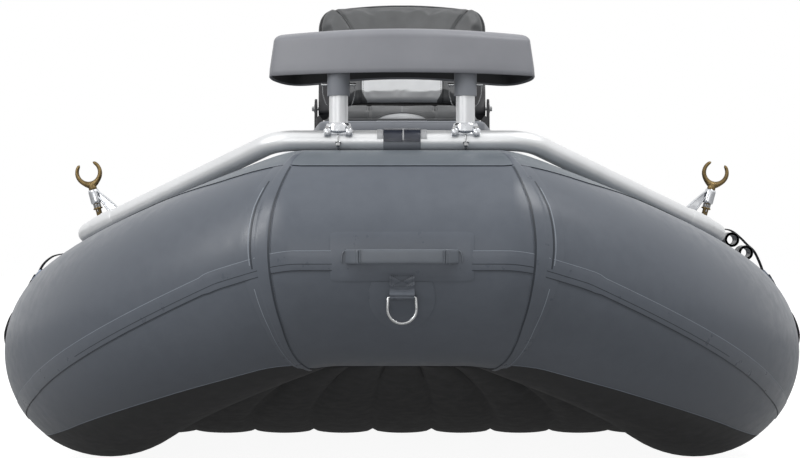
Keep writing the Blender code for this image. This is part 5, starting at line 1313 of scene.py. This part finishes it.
def dropped(mesh, points, way, lift):
    """Points dropped on a padded mesh along a direction, then raised off it a little."""
    tree = BVHTree.FromBMesh(mesh)
    hits = [tree.ray_cast(point - way * 0.2, way) for point in points]
    return [hit + normal * lift for hit, normal, _, _ in hits if hit]


def welt(mesh, points, way, radius):
    """Piping laid on a padded mesh."""
    return tube(dropped(mesh, points, way, radius * 0.45), radius, 10, round_ends=True)


def tapered(outline, front, depth, share):
    """Narrows an outline towards its front edge, to a share of its width."""
    return [(x * mix(share, 1, min(1.0, max(0.0, (y - front) / depth))), y) for x, y in outline]


def cushion_shape():
    """The front seat's cushion, with sewn channels fore and aft and a pale panel over its front edge."""
    width, depth, taper, welt_x = 0.398, 0.314, 0.88, 0.077
    middle = at(0.0, SEATS["front"] - SEAT_DEPTH / 2 + 0.022 + 0.325 / 2, CUSHION_Z).y
    front = middle - depth / 2
    outline = tapered(rounded_outline(width, depth, 0.050, (0.0, middle)), front, depth, taper)

    def keep(p):
        return Vector((p.x, p.y, max(CUSHION_Z + GAP, min(p.z, CUSHION_Z + 0.0395))))
    mesh = swelled("cushion_form", slab(outline, CUSHION_Z + 0.0004, CUSHION_Z + 0.0310, 0.009), 0.006, 0.012, keep)

    def depth_at(p, normal):
        if normal.z < -0.5:
            return 0.0
        sides = groove(abs(p.x) - welt_x) + 0.8 * groove(abs(p.x) - 0.152)
        rear = groove(p.y - (front + 0.235)) if abs(p.x) < 0.152 else 0.0
        return 0.0036 * min(1.0, sides + rear)

    def panel_at(p):
        if p.y > front + 0.05:
            return -0.060
        return 0.060 * sqrt(max(0.0, 1 - ((p.z - CUSHION_Z) / 0.020) ** 2)) - abs(p.x)
    sewn(mesh, depth_at, panel_at)
    pipes, rows = [], []
    for side in (-1, 1):
        line = [Vector((side * welt_x, y, CUSHION_Z)) for y in spread(front + 0.004, front + 0.304, 61)]
        pipes.append(welt(mesh, line, -UP, 0.0013))
        rows += [dropped(mesh, [p + Vector((off, 0.012, 0)) for p in line[:-6]], -UP, 0.0002)
                 for off in (-0.006, 0.006)]
    arch = [Vector((0.061 * cos(a), front, CUSHION_Z + 0.0212 * sin(a))) for a in spread(radians(8), radians(172), 40)]
    pipes.append(welt(mesh, arch, AFT, 0.0012))
    rim = tapered(rounded_outline(width + 0.012, depth + 0.012, 0.052, (0.0, middle), 12), front, depth, taper)
    loop = [Vector((x * 0.985, mix(middle, y, 0.985), CUSHION_Z + 0.0042)) for x, y in rim]
    pipes.append(tube(loop, 0.0021, 10, closed=True))
    return mesh, joined(*pipes), rows


def back_pad_shape():
    """The front seat's back pad, with two spreading seams, cross channels and a pale lumbar panel."""
    start = slab(back_outline(0.012, BACK_TOP - 0.003, 0.002), -0.004, 0.0415, 0.011,
                 lambda x, up, depth: back_point("front", x, up, depth))
    hinge = hinge_at("front")

    def keep(p):
        deep = (p - hinge).dot(BEHIND)
        return p + BEHIND * (max(-0.0125, min(0.0418, deep)) - deep)
    mesh = swelled("back_form", start, 0.006, 0.013, keep)

    def depth_at(p, _):
        up, deep = (p - hinge).dot(BACK_UP), (p - hinge).dot(BEHIND)
        if deep > 0.030:
            return 0.0
        seams = groove(abs(p.x) - seam_x(up), 0.0040)
        cross = groove(up - 0.170) if abs(p.x) < seam_x(up) else 0.0
        wings = 0.7 * groove(up - 0.118) if abs(p.x) > seam_x(up) else 0.0
        return 0.0042 * min(1.0, seams + cross + wings)

    def panel_at(p):
        up, deep = (p - hinge).dot(BACK_UP), (p - hinge).dot(BEHIND)
        if deep > 0.034:
            return -0.01
        low = sqrt(max(0.0, 1 - (max(0.0, 0.055 - up) / 0.062) ** 2))
        return min(seam_x(up) * low - 0.001 - abs(p.x), 0.169 - up)
    sewn(mesh, depth_at, panel_at)
    pipes, rows = [], []
    for side in (-1, 1):
        line = [back_point("front", side * seam_x(up), up, 0) for up in spread(0.030, 0.262, 60)]
        pipes.append(welt(mesh, line, BEHIND, 0.0016))
        rows += [dropped(mesh, [p + ACROSS * (side * off) for p in line], BEHIND, 0.0002) for off in (-0.0055, 0.0055)]
    return mesh, joined(*pipes), rows


def build_seats():
    """Both seats: the rower's soft parts are the front ones moved back."""
    soft = (("cushion", "seat", "seat_cushion", cushion_shape()), ("back", "back", "back_pad", back_pad_shape()))
    for seat in SEATS:
        offset = Matrix.Translation((0, SEATS[seat] - SEATS["front"], 0))
        for part, body, node, (mesh, pipes, rows) in soft:
            body = f"{seat}_{body}"
            padding = finished(f"{seat}_{part}_padding", mesh.copy(), PANELLED_VINYL, body, f"{seat}_{node}", 180,
                               offset, fix_normals=False)
            finished(f"{seat}_{part}_welts", pipes.copy(), DARK_VINYL, body, smooth=60, matrix=offset)
            stitched(f"{seat}_{part}_stitches", rows, body, offset)
        for build in (seat_mount, seat_base, seat_brackets, seat_back):
            build(seat)


def seat_mount(seat):
    """The plate on the seat bars with its bolts and U-clips, and the swivel's lower race."""
    y = BOW_Y + SEATS[seat]
    plate = slab(rounded_outline(0.300, 0.320, 0.02, (0, y)), PLATE_Z, PLATE_Z + PLATE, 0.0012)
    finished(f"{seat}_mount_plate", plate, ALUMINIUM_ACROSS, replaces=f"{seat}_seat_plate")
    bolts, clips, reach = [], [], 0.0245
    for x in (-0.125, -0.075, 0.075, 0.125):
        for side in (-1, 1):
            bolts += [hex_bolt(Vector((x, y + side * off, PLATE_Z + 0.0072)), UP, 0.010, 0.0045)
                      for off in (0.1245, 0.0755)]
            bar = Vector((x, y + side * SEAT_BAR_SPACING / 2, BAR_Z))
            legs = [(-reach, 0.022), (-reach, 0)]
            legs += [(-reach * cos(a), -reach * sin(a)) for a in spread(0.2, pi - 0.2, 12)]
            path = [bar + Vector((0, *leg)) for leg in legs + [(reach, 0), (reach, 0.022)]]
            clips.append(tube(path, 0.0030, 12, first_up=ACROSS))
    finished(f"{seat}_mount_bolts", joined(*bolts), STEEL, smooth=30)
    finished(f"{seat}_mount_clips", joined(*clips), STEEL, smooth=60)
    race = lathe((0, y, SWIVEL_Z), UP, ((0, 0.083), (0.0012, 0.085), (0.0036, 0.085), (0.0050, 0.083), (0.0056, 0.064),
                                        (0.0092, 0.061), (0.0110, 0.058)), 72)
    finished(f"{seat}_swivel_race", race, ZINC, replaces=f"{seat}_seat_swivel")


def seat_base(seat):
    """The moulded base with its turning race, a rolled front lip and stiffening ribs below."""
    y = BOW_Y + SEATS[seat]
    front = y - SEAT_DEPTH / 2
    outline = tapered(rounded_outline(SEAT_WIDTH, SEAT_DEPTH, 0.035, (0, y), 10), front, 0.25, 0.82)
    tray = [slab(rounded_outline(0.004, SEAT_DEPTH - 0.07, 0.0015, (x, y), 2), BASE_Z - 0.0045, BASE_Z + 0.002)
            for x in (-0.15, -0.12, 0.12, 0.15)]
    lip = tube([Vector((x, front + 0.004, BASE_Z + 0.0262)) for x in spread(-0.148, 0.148, 30)], 0.0034, 12,
               round_ends=True)
    base = slab(outline, BASE_Z, BASE_Z + 0.030, 0.0065)
    finished(f"{seat}_base_moulding", joined(base, lip, *tray), BASE_PLASTIC, f"{seat}_seat", f"{seat}_seat_base", 50)
    race = lathe((0, y, TURNING_Z), UP, ((0, 0.058), (0.0018, 0.061), (0.0052, 0.064), (0.0060, 0.083), (0.0072, 0.085),
                                         (0.0110, 0.085), (0.0118, 0.083)), 72)
    finished(f"{seat}_swivel_top_race", race, ZINC, f"{seat}_seat")


def seat_brackets(seat):
    """Pressed steel brackets that carry the folding back, with their pins and washers."""
    hinge = hinge_at(seat)
    low = BASE_Z + 0.012
    foot = low - HINGE_Z
    for side, sign in (("port", 1), ("starboard", -1)):
        top = [(0.0248 * cos(a), 0.0248 * sin(a)) for a in spread(radians(-12), radians(192), 22)]
        outline = [(-0.030, foot), (0.030, foot), (0.030, -0.030)] + top + [(-0.030, -0.030)]
        plate = slab(outline, 0.2140, 0.2198, 0.0008, lambda a, b, c: hinge + Vector((sign * c, a, b)))
        edge = [(0.1960, foot), (0.2150, foot), (0.2150, -0.026), (0.2080, -0.018), (0.1960, -0.034)]
        flange = slab(edge, -0.0305, -0.0275, 0.0004, lambda a, b, c: hinge + Vector((sign * a, c, b)))
        finished(f"{seat}_bracket_{side}", joined(plate, flange), POWDER_BLACK, f"{seat}_seat")
        out = ACROSS * sign
        pin = lathe(hinge + out * 0.1808, out, ((0, 0.0034), (0.0006, 0.0040), (0.0330, 0.0040)), 24)
        washer = lathe(hinge + out * 0.2199, out, ((0, 0.0105), (0.0014, 0.0105), (0.0016, 0.0100)), 32)
        head = hex_bolt(hinge + out * 0.2222, out, 0.0120, 0.0050)
        rivets = [lathe(hinge + Vector((sign * 0.2199, y, foot + 0.012)), out, ((0, 0.0042), (0.0012, 0.0040), (
            0.0022, 0.0026)), 20) for y in (-0.018, 0.018)]
        finished(f"{seat}_hinge_pin_{side}", joined(pin, washer, head, *rivets), STEEL, f"{seat}_seat", smooth=40)


def seat_back(seat):
    """The moulded back shell, ribbed behind, with the ears that turn on the pins."""
    def place(x, up, depth):
        return back_point(seat, x, up, depth)
    parts = [slab(back_outline(-0.016, BACK_TOP), 0.0423, 0.0523, 0.0035, place)]
    parts += [slab([(x - 0.002, 0.02), (x + 0.002, 0.02), (x + 0.002, 0.245), (x - 0.002, 0.245)], 0.0515, 0.0570, 0.0,
                   place) for x in spread(-0.13, 0.13, 5)]
    arm = [(0.0480, -0.0165), (0.0480, 0.1150), (0.0100, 0.1050), (-0.0020, 0.0850), (-0.0090, 0.0400)]
    arm += [(-0.0095 * sin(a), 0.0165 * cos(a)) for a in spread(radians(55), pi, 12)]
    parts += [slab(arm, 0.1790, 0.2105, 0.0015, lambda depth, up, x: place(side * x, up, depth)) for side in (-1, 1)]
    finished(f"{seat}_back_moulding", joined(*parts), BLACK_PLASTIC, f"{seat}_back", f"{seat}_back_shell", 50)
    edge = [place(x * 0.992, up, 0.0433) for x, up in back_outline(0.018, BACK_TOP - 0.002)]
    finished(f"{seat}_back_edge_welt", tube(edge, 0.0024, 10, closed=True), DARK_VINYL, f"{seat}_back", smooth=60)


# Oarlocks and their stands

LOCK_AXIS = Vector((sin(OAR_STAND_LEAN), 0, cos(OAR_STAND_LEAN)))
LOCK_OUT = Vector((LOCK_AXIS.z, 0, -LOCK_AXIS.x))
LOCK_CENTRE = at(RAIL_X + 0.130, OAR_STAND_BACK, 0.695)


def oarlock():
    """An open bronze horn ring, thick and pointed below, with its shank and keeper."""
    mouth, steps = radians(37.5), 64
    rings = []
    for k, angle in enumerate(spread(mouth, 2 * pi - mouth, steps + 1)):
        half = mix(0.0042, 0.0066, (1 - cos(angle)) / 2)
        heel = 0.0034 * exp(-((angle - pi) / 0.45) ** 2)
        round_off = sqrt(max(0.02, 1 - (1 - min(1.0, min(k, steps - k) / 4)) ** 2))
        radial = cos(angle) * LOCK_AXIS + sin(angle) * LOCK_OUT
        middle = LOCK_CENTRE + radial * (LOCK_BORE + half + heel)
        rings.append(circle(middle, round_off, (half + heel) * radial, 1.4 * half * AFT, 24))
    neck, shank, keeper = [lathe(LOCK_CENTRE - LOCK_AXIS * down, -LOCK_AXIS, profile) for down, profile in (
        (LOCK_BORE + 0.009, ((0, 0.0100), (0.0040, 0.0108), (0.0080, 0.0110), (0.0128, 0.0112), (0.0138, 0.0108),
                             (0.0143, 0.0100))),
        (LOCK_BORE + 0.0062, ((0, 0.0078), (0.0885, 0.0078), (0.0905, 0.0070), (0.0919, 0.0052))),
        (0.0989, ((0, 0.0117), (0.0008, 0.0125), (0.0032, 0.0125), (0.0040, 0.0117))))]
    return joined(skin(rings), neck, shank, keeper)


def lock_spring():
    """The coil spring between the socket and the keeper, and the split pin below it."""
    turns, around = 4, 20
    path = []
    for k in range(turns * around + 1):
        angle = 2 * pi * k / around
        down = mix(0.0884, 0.0982, k / (turns * around))
        path.append(LOCK_CENTRE - LOCK_AXIS * down + 0.0100 * (cos(angle) * LOCK_OUT + sin(angle) * AFT))
    eye = LOCK_CENTRE - LOCK_AXIS * 0.1080
    pin = tube([eye + AFT * y for y in (-0.013, 0.0, 0.012)], 0.0013, 10, round_ends=True)
    loop = tube(circle(eye - AFT * 0.0165, 0.0035, AFT, LOCK_AXIS, 16), 0.0010, 8, closed=True, first_up=LOCK_OUT)
    return joined(tube(path, 0.0010, 8, round_ends=True), pin, loop)


def flange_along(path, wide):
    """A flat bar with rounded edges along a path across the boat, narrowing to three quarters."""
    thick, rings = 0.0045, []
    for share, point, (_, side, up) in zip(spread(0, 1, len(path)), path, frames_along(path)):
        half = wide / 2 * mix(1, 0.75, share)
        rings.append([point + up * (thick / 2 * squared(sin(a), 0.7)) + side * (half * squared(cos(a), 0.45))
                      for a in spread(0, 2 * pi, 21)[:-1]])
    return skin(rings)


def oar_stand(rail):
    """A cast stand: a two-piece rail clamp, an arched arm of I section and the leaning socket."""
    half = AFT * 0.0298
    cap, cup = [saddle(rail - half, rail + half, GAP, FITTING_WALL, low, high, 0.0012)
                for low, high in ((2, 178), (-46, -1))]
    high, low = LOCK_CENTRE - LOCK_AXIS * 0.0489, LOCK_CENTRE - LOCK_AXIS * 0.0869
    socket = lathe(low, LOCK_AXIS, ((0, 0.0128), (0.0012, 0.0142), (0.0060, 0.0144), (0.0320, 0.0144),
                                    (0.0368, 0.0140), (0.0380, 0.0128)), 40)
    over, under = [smooth_line([*[rail + Vector((x, 0, z)) for x, z in spots], end - LOCK_OUT * 0.010], 0.006)
                   for spots, end in ((((0.012, 0.018), (0.034, 0.054), (0.060, 0.086)), high - LOCK_AXIS * 0.005),
                                      (((0.024, 0.004), (0.046, 0.034), (0.068, 0.060)), low + LOCK_AXIS * 0.016))]
    outline = [(p.x, p.z) for p in under] + [(p.x, p.z) for p in reversed(over)]
    web = slab(outline, -0.0025, 0.0025, 0.0, lambda a, b, c: Vector((a, rail.y + c, b)))
    lugs = [lathe(rail + Vector((PIPE / 2 + 0.0030, y, -0.004)), UP,
                  ((0, 0.0062), (0.0010, 0.0068), (0.0120, 0.0068), (0.0130, 0.0060)), 24) for y in (-0.019, 0.019)]
    return joined(cap, cup, socket, flange_along(over, 0.0290), flange_along(under, 0.0280), web, *lugs)


def build_oar_gear():
    """The oarlocks, which turn, on their stands with their bolts."""
    rail = at(RAIL_X, OAR_STAND_BACK, RAIL_Z)
    for side, matrix in SIDES:
        lock = f"oarlock_{side}"
        finished(f"{lock}_casting", oarlock(), BRONZE, lock, lock, 60, matrix)
        finished(f"{lock}_spring", lock_spring(), STEEL, lock, smooth=60, matrix=matrix)
        finished(f"oar_stand_{side}_casting", oar_stand(rail), CAST_ALUMINIUM, replaces=f"oar_stand_{side}", smooth=50,
                 matrix=matrix)
        bolts = [hex_bolt(rail + Vector((PIPE / 2 + 0.0030, y, 0.0095)), UP, 0.0090, 0.0048) for y in (-0.019, 0.019)]
        finished(f"oar_stand_bolts_{side}", joined(*bolts), STEEL, smooth=30, matrix=matrix)


# Straps, side rings and rod rings, round the port side tube at the strap; angles in degrees above level

RING_BAR = 0.0086                                      # height off the fabric of the side ring's bars


def tube_out(angle):
    return Vector((cos(radians(angle)), 0, sin(radians(angle))))


def tube_up(angle):
    return Vector((-sin(radians(angle)), 0, cos(radians(angle))))


def tube_place(angle, off, aft=0.0):
    """A point at a distance off the fabric and an offset aft."""
    return Vector((SIDE_X, BOW_Y + STRAP_BACK + aft, SIDE_TUBE_RADIUS)) + (SIDE_TUBE_RADIUS + off) * tube_out(angle)


def normals_of(path, centre):
    """Unit normals of a path across the boat, on the side away from a centre."""
    normals = [Vector((-way.z, 0, way.x)) for way in ways_along(path)]
    return [normal if normal.dot(point - centre) > 0 else -normal for point, normal in zip(path, normals)]


def strap_pieces(over_rings):
    """The cam strap: a lower run, two layers up to the rail, the turn round it and a loose tail."""
    rail, centre = at(RAIL_X, STRAP_BACK, RAIL_Z), Vector((SIDE_X, BOW_Y + STRAP_BACK, SIDE_TUBE_RADIUS))
    lower = [tube_place(19.3, RING_BAR - 0.002)]
    lower += [tube_place(a, 0.0035 + 0.005 * max(0, (24 - a) / 5) ** 2) for a in spread(20.5, 46, 26)]
    turn = [rail + (PIPE / 2 + 0.0006) * tube_out(a) for a in spread(-12, 215, 40)]
    # the upper run as (angle, distance off the fabric), where it joins the turn, and the angles of the layer under it
    if over_rings:
        crest, joint, under = ((45.5, 0.0135), (50, 0.0255), (56, 0.0405), (60.5, 0.0455), (65, 0.0530),
                               (69.5, 0.0595), (73, 0.0580)), 8, (46, 51, 58, 66, 73)
    else:
        crest, joint, under = ((44, 0.0150), (47, 0.0215), (51, 0.0262), (56, 0.0262), (61, 0.0185), (66, 0.0105),
                               (71, 0.0110), (76, 0.0185)), 3, (46, 54, 62, 70, 76)
    upper = smooth_line([tube_place(*spot) for spot in crest] + [turn[joint]])[:-1]
    inner = smooth_line([tube_place(a, 0.0012) for a in under])
    top = upper + turn[joint:]
    tail = smooth_line([tube_place(*spot) for spot in (
        (43, 0.0205), (38, 0.0165), (30, 0.0110), (24, 0.0125), (17, 0.0205), (8, 0.0235), (0, 0.0150), (-4, 0.0125))])
    outward = normals_of(top, centre)[:len(upper)] + normals_of(top, rail)[len(upper):]
    runs = ((lower, normals_of(lower, centre)), (top, outward), (inner, normals_of(inner, centre)),
            (tail, normals_of(tail, centre)))
    return joined(*[ribbon(path, normals, STRAP_WIDTH, STRAP) for path, normals in runs])


def side_ring():
    """A ring of wire, tapered upwards, with its lower corners tighter than its upper ones."""
    out, up = tube_out(SIDE_RING_ANGLE), tube_up(SIDE_RING_ANGLE)
    bar = tube_place(SIDE_RING_ANGLE, RING_BAR)
    half, reach, narrow = 0.0225, 0.0360, 0.82
    corners = [bar + AFT * y + up * z for y, z in (
        (-half, -0.0005), (half, -0.0005), (half * narrow, reach), (-half * narrow, reach))]
    path = []
    for corner, before, after, radius in zip(corners, corners[-1:] + corners, corners[1:] + corners[:1],
                                             (0.005, 0.005, 0.011, 0.011)):
        start, end = [corner + (other - corner).normalized() * radius for other in (before, after)]
        path += [bend(start, corner, end, share) for share in spread(0, 1, 8)]
    return tube(path, SIDE_RING_WIRE, 14, closed=True, first_up=out)


def side_patch():
    """The round patch under a side ring."""
    def place(x, y, lift):
        return tube_place(SIDE_RING_ANGLE + degrees((y - 0.010) / SIDE_TUBE_RADIUS), lift, x)
    return round_patch(place, 0.0495, 0.0016, 0.0009, 56)


def side_loop():
    """Webbing from the patch round the ring's lower bar and back, stitched below it."""
    bar = tube_place(SIDE_RING_ANGLE, RING_BAR)
    out, down = tube_out(SIDE_RING_ANGLE), -tube_up(SIDE_RING_ANGLE)
    wrap = SIDE_RING_WIRE + 0.0014

    def run(lift, *below):
        return [tube_place(SIDE_RING_ANGLE - degrees(a), lift) for a in below]
    path = run(0.0046, 0.150, 0.125, 0.100, 0.075, 0.055)
    path += [bar + wrap * (cos(a) * out + sin(a) * down) for a in spread(radians(50), radians(-150), 16)]
    path = smooth_line(path + run(0.0024, 0.030, 0.070, 0.110, 0.150), 0.003)
    half_thick = [Vector((-way.z, 0, way.x)) * 0.0011 for way in ways_along(path)]
    return sheet_shell(*[[[point + half * face + AFT * y for y in spread(-0.0170, 0.0170, 8)]
                          for point, half in zip(path, half_thick)] for face in (1, -1)])


def buckle():
    """A cam buckle: a folded body with cheeks, its sprung lever and the pin it turns on."""
    angle = 44
    out, up, origin = tube_out(angle), tube_up(angle), tube_place(angle, 0.0085)

    def place(a, b, c):
        return origin + up * a + AFT * b + out * c

    def sideways(a, c, b):
        return place(a, b, c)
    cheek = [(-0.019, 0.0), (0.019, 0.0), (0.017, 0.0080), (0.004, 0.0110), (-0.012, 0.0090), (-0.019, 0.0030)]
    lever = [(-0.016, 0.0065), (0.012, 0.0092), (0.015, 0.0112), (0.010, 0.0122), (-0.012, 0.0098),
             (-0.0195, 0.0105), (-0.0200, 0.0085)]
    parts = [slab(rounded_outline(0.040, 0.0345, 0.003), 0.0, 0.0022, 0.0006, place)]
    parts += [slab(cheek, y - 0.0009, y + 0.0009, 0.0003, sideways) for y in (-0.0165, 0.0165)]
    parts.append(slab(lever, -0.0135, 0.0135, 0.0004, sideways))
    parts.append(tube([place(0.006, b, 0.0060) for b in (-0.0182, 0.0, 0.0182)], 0.0021, 14, round_ends=True))
    parts += [tube([place(-0.010 + 0.003 * k, b, 0.0106 + 0.00042 * k) for b in (-0.010, 0.010)], 0.0006, 8,
                   round_ends=True) for k in range(5)]
    return joined(*parts)


def rod_rings():
    """Two short rod tubes side by side on one moulded saddle."""
    parts = []
    end, lip = AFT * 0.0298, AFT * 0.0022
    for angle, stand in ((69, 0.022), (60, 0.008)):
        centre = tube_place(angle, stand + 0.0175)
        parts.append(hollow_tube([centre - end, centre - end + lip, centre + end - lip, centre + end], 0.0170, 0.0117))
        parts += [hollow_tube([centre + side * (end - lip * 2.2), centre + side * end], 0.0177, 0.0113)
                  for side in (-1, 1)]
        foot, web = tube_place(angle, 0.0020), centre - tube_out(angle) * 0.0165
        if (web - foot).length > 0.004:
            parts.append(slab([(-0.0045, 0.0), (0.0045, 0.0), (0.0045, 1.0), (-0.0045, 1.0)], -0.024, 0.024, 0.0,
                              lambda a, b, c: mix(foot, web, b) + tube_up(angle) * a + AFT * c))
    parts.append(sheet_shell(*[[[tube_place(angle, off, y) for y in spread(-0.026, 0.026, 6)]
                                for angle in spread(53, 76, 24)] for off in (0.0045, 0.0005)]))
    return joined(*parts)


def build_straps():
    """At each shoulder a cam strap from its ring up over the rail, and the rod rings under the port bow one."""
    for name, matrix in QUARTERS:
        for piece, mesh, material, node, smooth in (
                (f"strap_{name}_webbing", strap_pieces(name == "bow_port"), STRAP_WEBBING, f"strap_{name}", 60),
                (f"buckle_{name}", buckle(), BUCKLE_ZINC, None, 40),
                (f"side_ring_{name}_wire", side_ring(), STEEL, f"side_ring_{name}", 60),
                (f"side_patch_{name}_disc", side_patch(), TAPE_FABRIC, f"side_patch_{name}", 60),
                (f"side_patch_{name}_loop", side_loop(), TAPE_FABRIC, None, 60)):
            finished(piece, mesh, material, replaces=node, smooth=smooth, matrix=matrix)
    finished("rod_tubes", rod_rings(), ROD_TUBE_PLASTIC, replaces="rod_rings", smooth=50)


# Studio

FLOOR_REACH = 30
PICTURE_WIDTH = 800                                    # pixels of the photograph, and three lengths in them
FOCAL_LENGTH = 1894
SIDE_SHIFT = -2
TILT_UP = 22
SENSOR = 36.0
CAMERA_AHEAD, CAMERA_HEIGHT = 3.585, 0.4825            # of the bow's front face, and above the ground
# name, place, size, power, aim and whether it glints; only the front fill and the soft boxes do: they make the
# shine on the pipes and the sheen on the mitres
LAMPS = (
    ("key_top", (-0.3, -4.2, 5.2), (5.0, 3.0), 126, (0, -1.2, 0.4), False),
    ("fill_front", (-0.9, -6.2, 1.0), (2.6, 1.2), 20, (0, -1.8, 0.6), True),
    ("rear_top", (0.0, 3.6, 4.6), (5.0, 3.0), 140, (0, 0.4, 0.5), False),
    ("soft_left", (-3.05, -3.35, 2.45), (0.8, 2.0), 52, (-0.3, -1.9, 0.55), True),
    ("soft_right", (2.2, -2.45, 3.65), (1.2, 1.8), 64, (0.3, -1.9, 0.55), True))


def placed(name, data):
    holder = bpy.data.objects.new(name, data)
    bpy.context.scene.collection.objects.link(holder)
    return holder


def build_studio():
    """A pale floor and world, soft light from above and in front, and the photograph's camera."""
    scene = bpy.context.scene
    data = bpy.data.meshes.new("studio_floor")
    data.from_pydata([(x * FLOOR_REACH, y * FLOOR_REACH, 0) for x, y in ((-1, -1), (1, -1), (1, 1), (-1, 1))], [],
                     [(0, 1, 2, 3)])
    placed("studio_floor", data)
    made, tree = new_material("pale_floor", roughness=0.9, base_color=(0.30, 0.30, 0.30, 1))
    plain = tree.nodes["Principled BSDF"].outputs["BSDF"]
    rays = add(tree, "ShaderNodeLightPath").outputs
    glow = add(tree, "ShaderNodeEmission", {"Color": (1, 1, 1, 1), "Strength": 0.93}).outputs["Emission"]
    pale = add(tree, "ShaderNodeAddShader", {0: plain, 1: glow}).outputs["Shader"]
    sheen = add(tree, "ShaderNodeMath", {0: rays["Is Glossy Ray"], 1: 0.20}, operation="MULTIPLY").outputs[0]
    seen = add(tree, "ShaderNodeMath", {0: rays["Is Camera Ray"], 1: sheen}, operation="MAXIMUM").outputs[0]
    mixed = add(tree, "ShaderNodeMixShader", {"Fac": seen, 1: plain, 2: pale}).outputs["Shader"]
    tree.links.new(mixed, tree.nodes["Material Output"].inputs["Surface"])
    data.materials.append(made)

    scene.world = bpy.data.worlds.new("studio")
    scene.world.use_nodes = True
    tree = scene.world.node_tree
    rays = add(tree, "ShaderNodeLightPath").outputs
    seen = add(tree, "ShaderNodeMath", {0: rays["Is Camera Ray"], 1: rays["Is Glossy Ray"]}, operation="MAXIMUM")
    plain = tree.nodes["Background"]
    plain.inputs["Color"].default_value = (0.94, 0.97, 1.0, 1)
    plain.inputs["Strength"].default_value = 0.36
    white = add(tree, "ShaderNodeBackground", {"Color": (1, 1, 1, 1), "Strength": 1.0})
    mixed = add(tree, "ShaderNodeMixShader", {
        "Fac": seen.outputs[0], 1: plain.outputs["Background"], 2: white.outputs["Background"]})
    tree.links.new(mixed.outputs["Shader"], tree.nodes["World Output"].inputs["Surface"])

    for name, place, size, power, aim, glints in LAMPS:
        lamp = bpy.data.lights.new(name, "AREA")
        lamp.shape = "RECTANGLE"
        lamp.size, lamp.size_y = size
        lamp.energy = power
        holder = placed(name, lamp)
        holder.location = place
        holder.rotation_mode = "QUATERNION"
        holder.rotation_quaternion = (Vector(aim) - Vector(place)).to_track_quat("-Z", "Y")
        holder.visible_glossy = glints

    camera = bpy.data.cameras.new("camera")
    camera.sensor_width = SENSOR
    camera.lens = SENSOR * FOCAL_LENGTH / PICTURE_WIDTH
    camera.clip_end = 100.0
    camera.shift_x = SIDE_SHIFT / PICTURE_WIDTH
    scene.camera = placed("camera", camera)
    scene.camera.location = (0.0, BOW_Y - CAMERA_AHEAD, CAMERA_HEIGHT)
    scene.camera.rotation_euler = (radians(90) + atan2(TILT_UP, FOCAL_LENGTH), 0, 0)
    scene.view_settings.view_transform = "Standard"


build_studio()
build_hull()
build_long_seams()
build_quarter_seams()
build_floor()
build_valves()
build_bow_rings()
build_handles()
build_frame()
build_wrap()
build_brace()
build_seats()
build_oar_gear()
build_straps()
